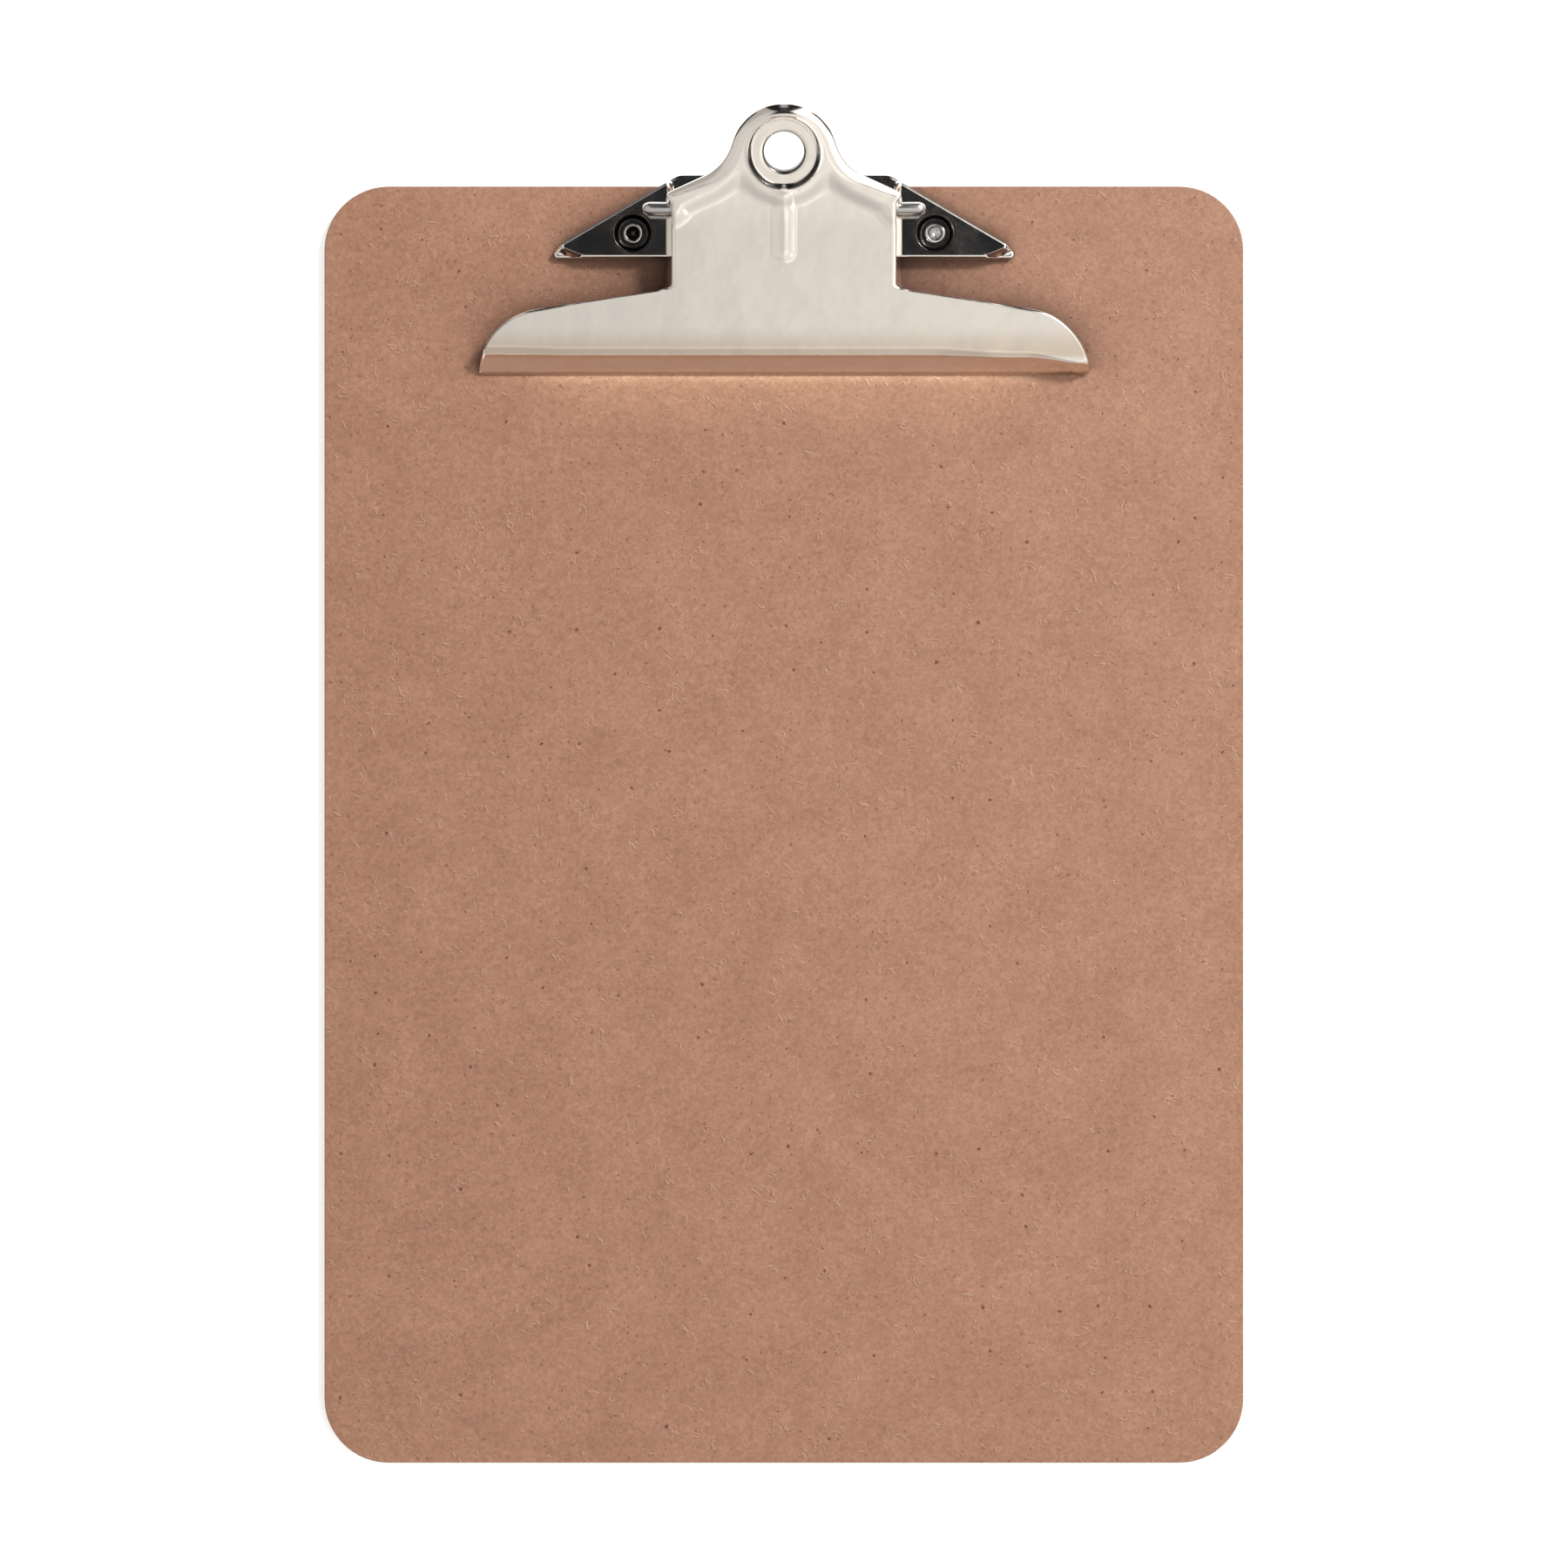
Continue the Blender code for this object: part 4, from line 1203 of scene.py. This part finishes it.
# the sky's brightness, by panel
FRONT_LOW, FRONT_HIGH = 0.86, 0.97
LEFT_SHARE = 0.80
CREST_SHARE = 0.25
LEFT_PANEL, RIGHT_PANEL = 0.72, 1.45
DARK_LEVEL = 0.012
COOL_DARK, WARM_LIGHT = (0.85, 0.90, 1.0), (1.0, 0.968, 0.93)
REAR_WALL = 22.5  # degrees to each side of +Y

KEY_POWER = 108.0
KEY_SIDE = 0.52
KEY_DISTANCE = 3.4
KEY_DIRECTION = Vector((0.75, 0.67, 1.0)).normalized()
KEY_COLOUR = (1.0, 0.975, 0.94)


def make_stage():
    """A plain pale floor that the board lies on."""
    nodes = Surface("floor_paper")
    tone = nodes.noise(0.004, detail=3.0)
    nodes.shader_input(
        Base_Color=nodes.mix(nodes.ramp(tone, 0.3, 0.7), (0.93, 0.93, 0.93), (0.95, 0.95, 0.95)),
        Roughness=0.9, Specular_IOR_Level=0.1, Emission_Color=(1.0, 1.0, 1.0, 1.0), Emission_Strength=0.5,
    )
    half = 30.0
    floor = new_object(
        "floor", [(-half, -half, 0), (half, -half, 0), (half, half, 0), (-half, half, 0)],
        [(0, 1, 2, 3)], nodes.material, (0, 0, board_low.z - 0.0001),
    )


def make_key_light():
    """One small lamp from the right and behind the clip."""
    clip = Vector((0, PIN.y, PIN.z))
    light = bpy.data.lights.new("key_light", "AREA")
    light.shape = "RECTANGLE"
    light.size = light.size_y = KEY_SIDE
    light.energy = KEY_POWER
    light.color = KEY_COLOUR
    lamp = placed("key_light", light, clip + KEY_DIRECTION * KEY_DISTANCE)
    lamp.rotation_euler = (-KEY_DIRECTION).to_track_quat("-Z", "Y").to_euler()
    lamp.visible_camera = False


def front_level(sky, x, y, reach, bearing):
    """The front panel: dimmer on its left, with a bright strip overhead and a patch that lights the crest."""
    near, far = sky.ramp(reach, 0.30, 0.54, FRONT_LOW, FRONT_HIGH), sky.ramp(reach, 0.60, 0.84, 1.0, 0.76)
    level = sky.times(near, far, sky.ramp(x, -0.06, 0.04, LEFT_SHARE, 1.02))
    strip = sky.ramp(sky.absolute(sky.plus(bearing, 63)), 4, 1.5)
    level = sky.plus(level, sky.times(strip, sky.ramp(reach, 0.5, 0.4, 0.0, 0.7)))
    crest_x = sky.times(sky.ramp(x, 0.03, 0.05), sky.ramp(x, 0.17, 0.13))
    crest_y = sky.times(sky.ramp(y, -0.56, -0.52), sky.ramp(y, -0.32, -0.36))
    return sky.plus(level, sky.times(crest_x, crest_y, CREST_SHARE))


def side_level(sky, x, y, reach, rear_bearing):
    """The side panels: the right one is brighter, and behind the board both stop above a dark low wall."""
    left = sky.ramp(y, 0.0, 0.4, LEFT_PANEL, LEFT_PANEL * 0.66)
    is_right = sky.ramp(x, -0.05, 0.05)
    level = sky.plus(sky.times(left, sky.one_minus(is_right)), sky.times(is_right, RIGHT_PANEL))
    low_wall = sky.times(sky.ramp(reach, 0.90, 0.96, 0.0, 0.97), sky.ramp(rear_bearing, 34, 42))
    return sky.times(level, sky.one_minus(low_wall))


def make_sky():
    """The studio round the board: soft panels in front and at the sides, a dark ceiling and a dark rear wall.

    Bearings are in degrees round Z from +X, and reach is the sine of the angle from straight up.
    """
    world = bpy.data.worlds.new("studio")
    bpy.context.scene.world = world
    world.use_nodes = True
    sky = Nodes(world.node_tree)
    x, y, _ = sky.axes(sky.add("ShaderNodeTexCoord").outputs["Generated"])
    reach = sky.math("SQRT", sky.plus(sky.times(x, x), sky.times(y, y)))
    bearing = sky.times(sky.math("ARCTAN2", y, x), 180 / math.pi)
    rear_bearing = sky.absolute(sky.math("SUBTRACT", bearing, 90))
    front_bearing = sky.absolute(sky.plus(bearing, 90))

    front = front_level(sky, x, y, reach, bearing)
    side = side_level(sky, x, y, reach, rear_bearing)
    to_right = sky.times(sky.ramp(bearing, -61, -57), sky.ramp(reach, 0.55, 0.66))
    to_side = sky.most(to_right, sky.ramp(front_bearing, 58, 66))
    level = sky.plus(sky.times(front, sky.one_minus(to_side)), sky.times(side, to_side))
    off_ceiling = sky.most(sky.ramp(reach, 0.15, 0.26), sky.ramp(sky.absolute(x), 0.10, 0.15))
    lit = sky.times(off_ceiling, sky.ramp(rear_bearing, REAR_WALL, REAR_WALL + 2.5))
    glint = sky.times(sky.ramp(rear_bearing, 5, 2), sky.ramp(reach, 0.6, 0.9, 0.06, 0.5))
    level = sky.plus(sky.times(level, lit), sky.plus(glint, DARK_LEVEL))
    background = world.node_tree.nodes["Background"]
    sky.set(background.inputs["Color"], sky.mix(lit, COOL_DARK, WARM_LIGHT))
    sky.set(background.inputs["Strength"], level)


def make_camera():
    """Looks straight down from above the middle of the picture that frames the board."""
    height, view_width, look_y = 1.400, 0.3900, 0.0101
    camera = bpy.data.cameras.new("camera")
    camera.sensor_width = 36.0
    camera.lens = camera.sensor_width * height / view_width
    camera.clip_start = 0.05
    bpy.context.scene.camera = placed("camera", camera, (0, look_y, BOARD_TOP + height))


make_camera()
make_stage()
make_sky()
make_key_light()

lever_nickel = plated("nickel_plate", NICKEL, 0.085, painted_shade=hole_shade, painted_crease_shade=True)
base_nickel = plated("nickel_plate_base", NICKEL, 0.07, wear=1.6, scratch=2.5, painted_shade=dimple_and_rear_shade)
pin_metal = plated("pin_steel", PIN_STEEL, 0.20, wear=0.8)
left_rivet = plated("rivet_steel_left", LEFT_RIVET_SHADED_STEEL, 0.15, wear=1.0, scratch=1.5, painted_shade=rivet_hollow_shade)
right_rivet = plated("rivet_steel_right", CHROME, 0.15, wear=1.0, scratch=1.5, painted_shade=rivet_groove_shade)
wire_metal = drawn_wire()

make_board(hardboard())
make_base(base_nickel)
make_lever(lever_nickel)
make_pin(pin_metal)
for (word, side), rivet_metal in zip(SIDES, (left_rivet, right_rivet)):
    make_rivet(word, side, rivet_metal)
    make_spring(word, side, wire_metal)

bpy.context.scene.view_settings.view_transform = "Standard"
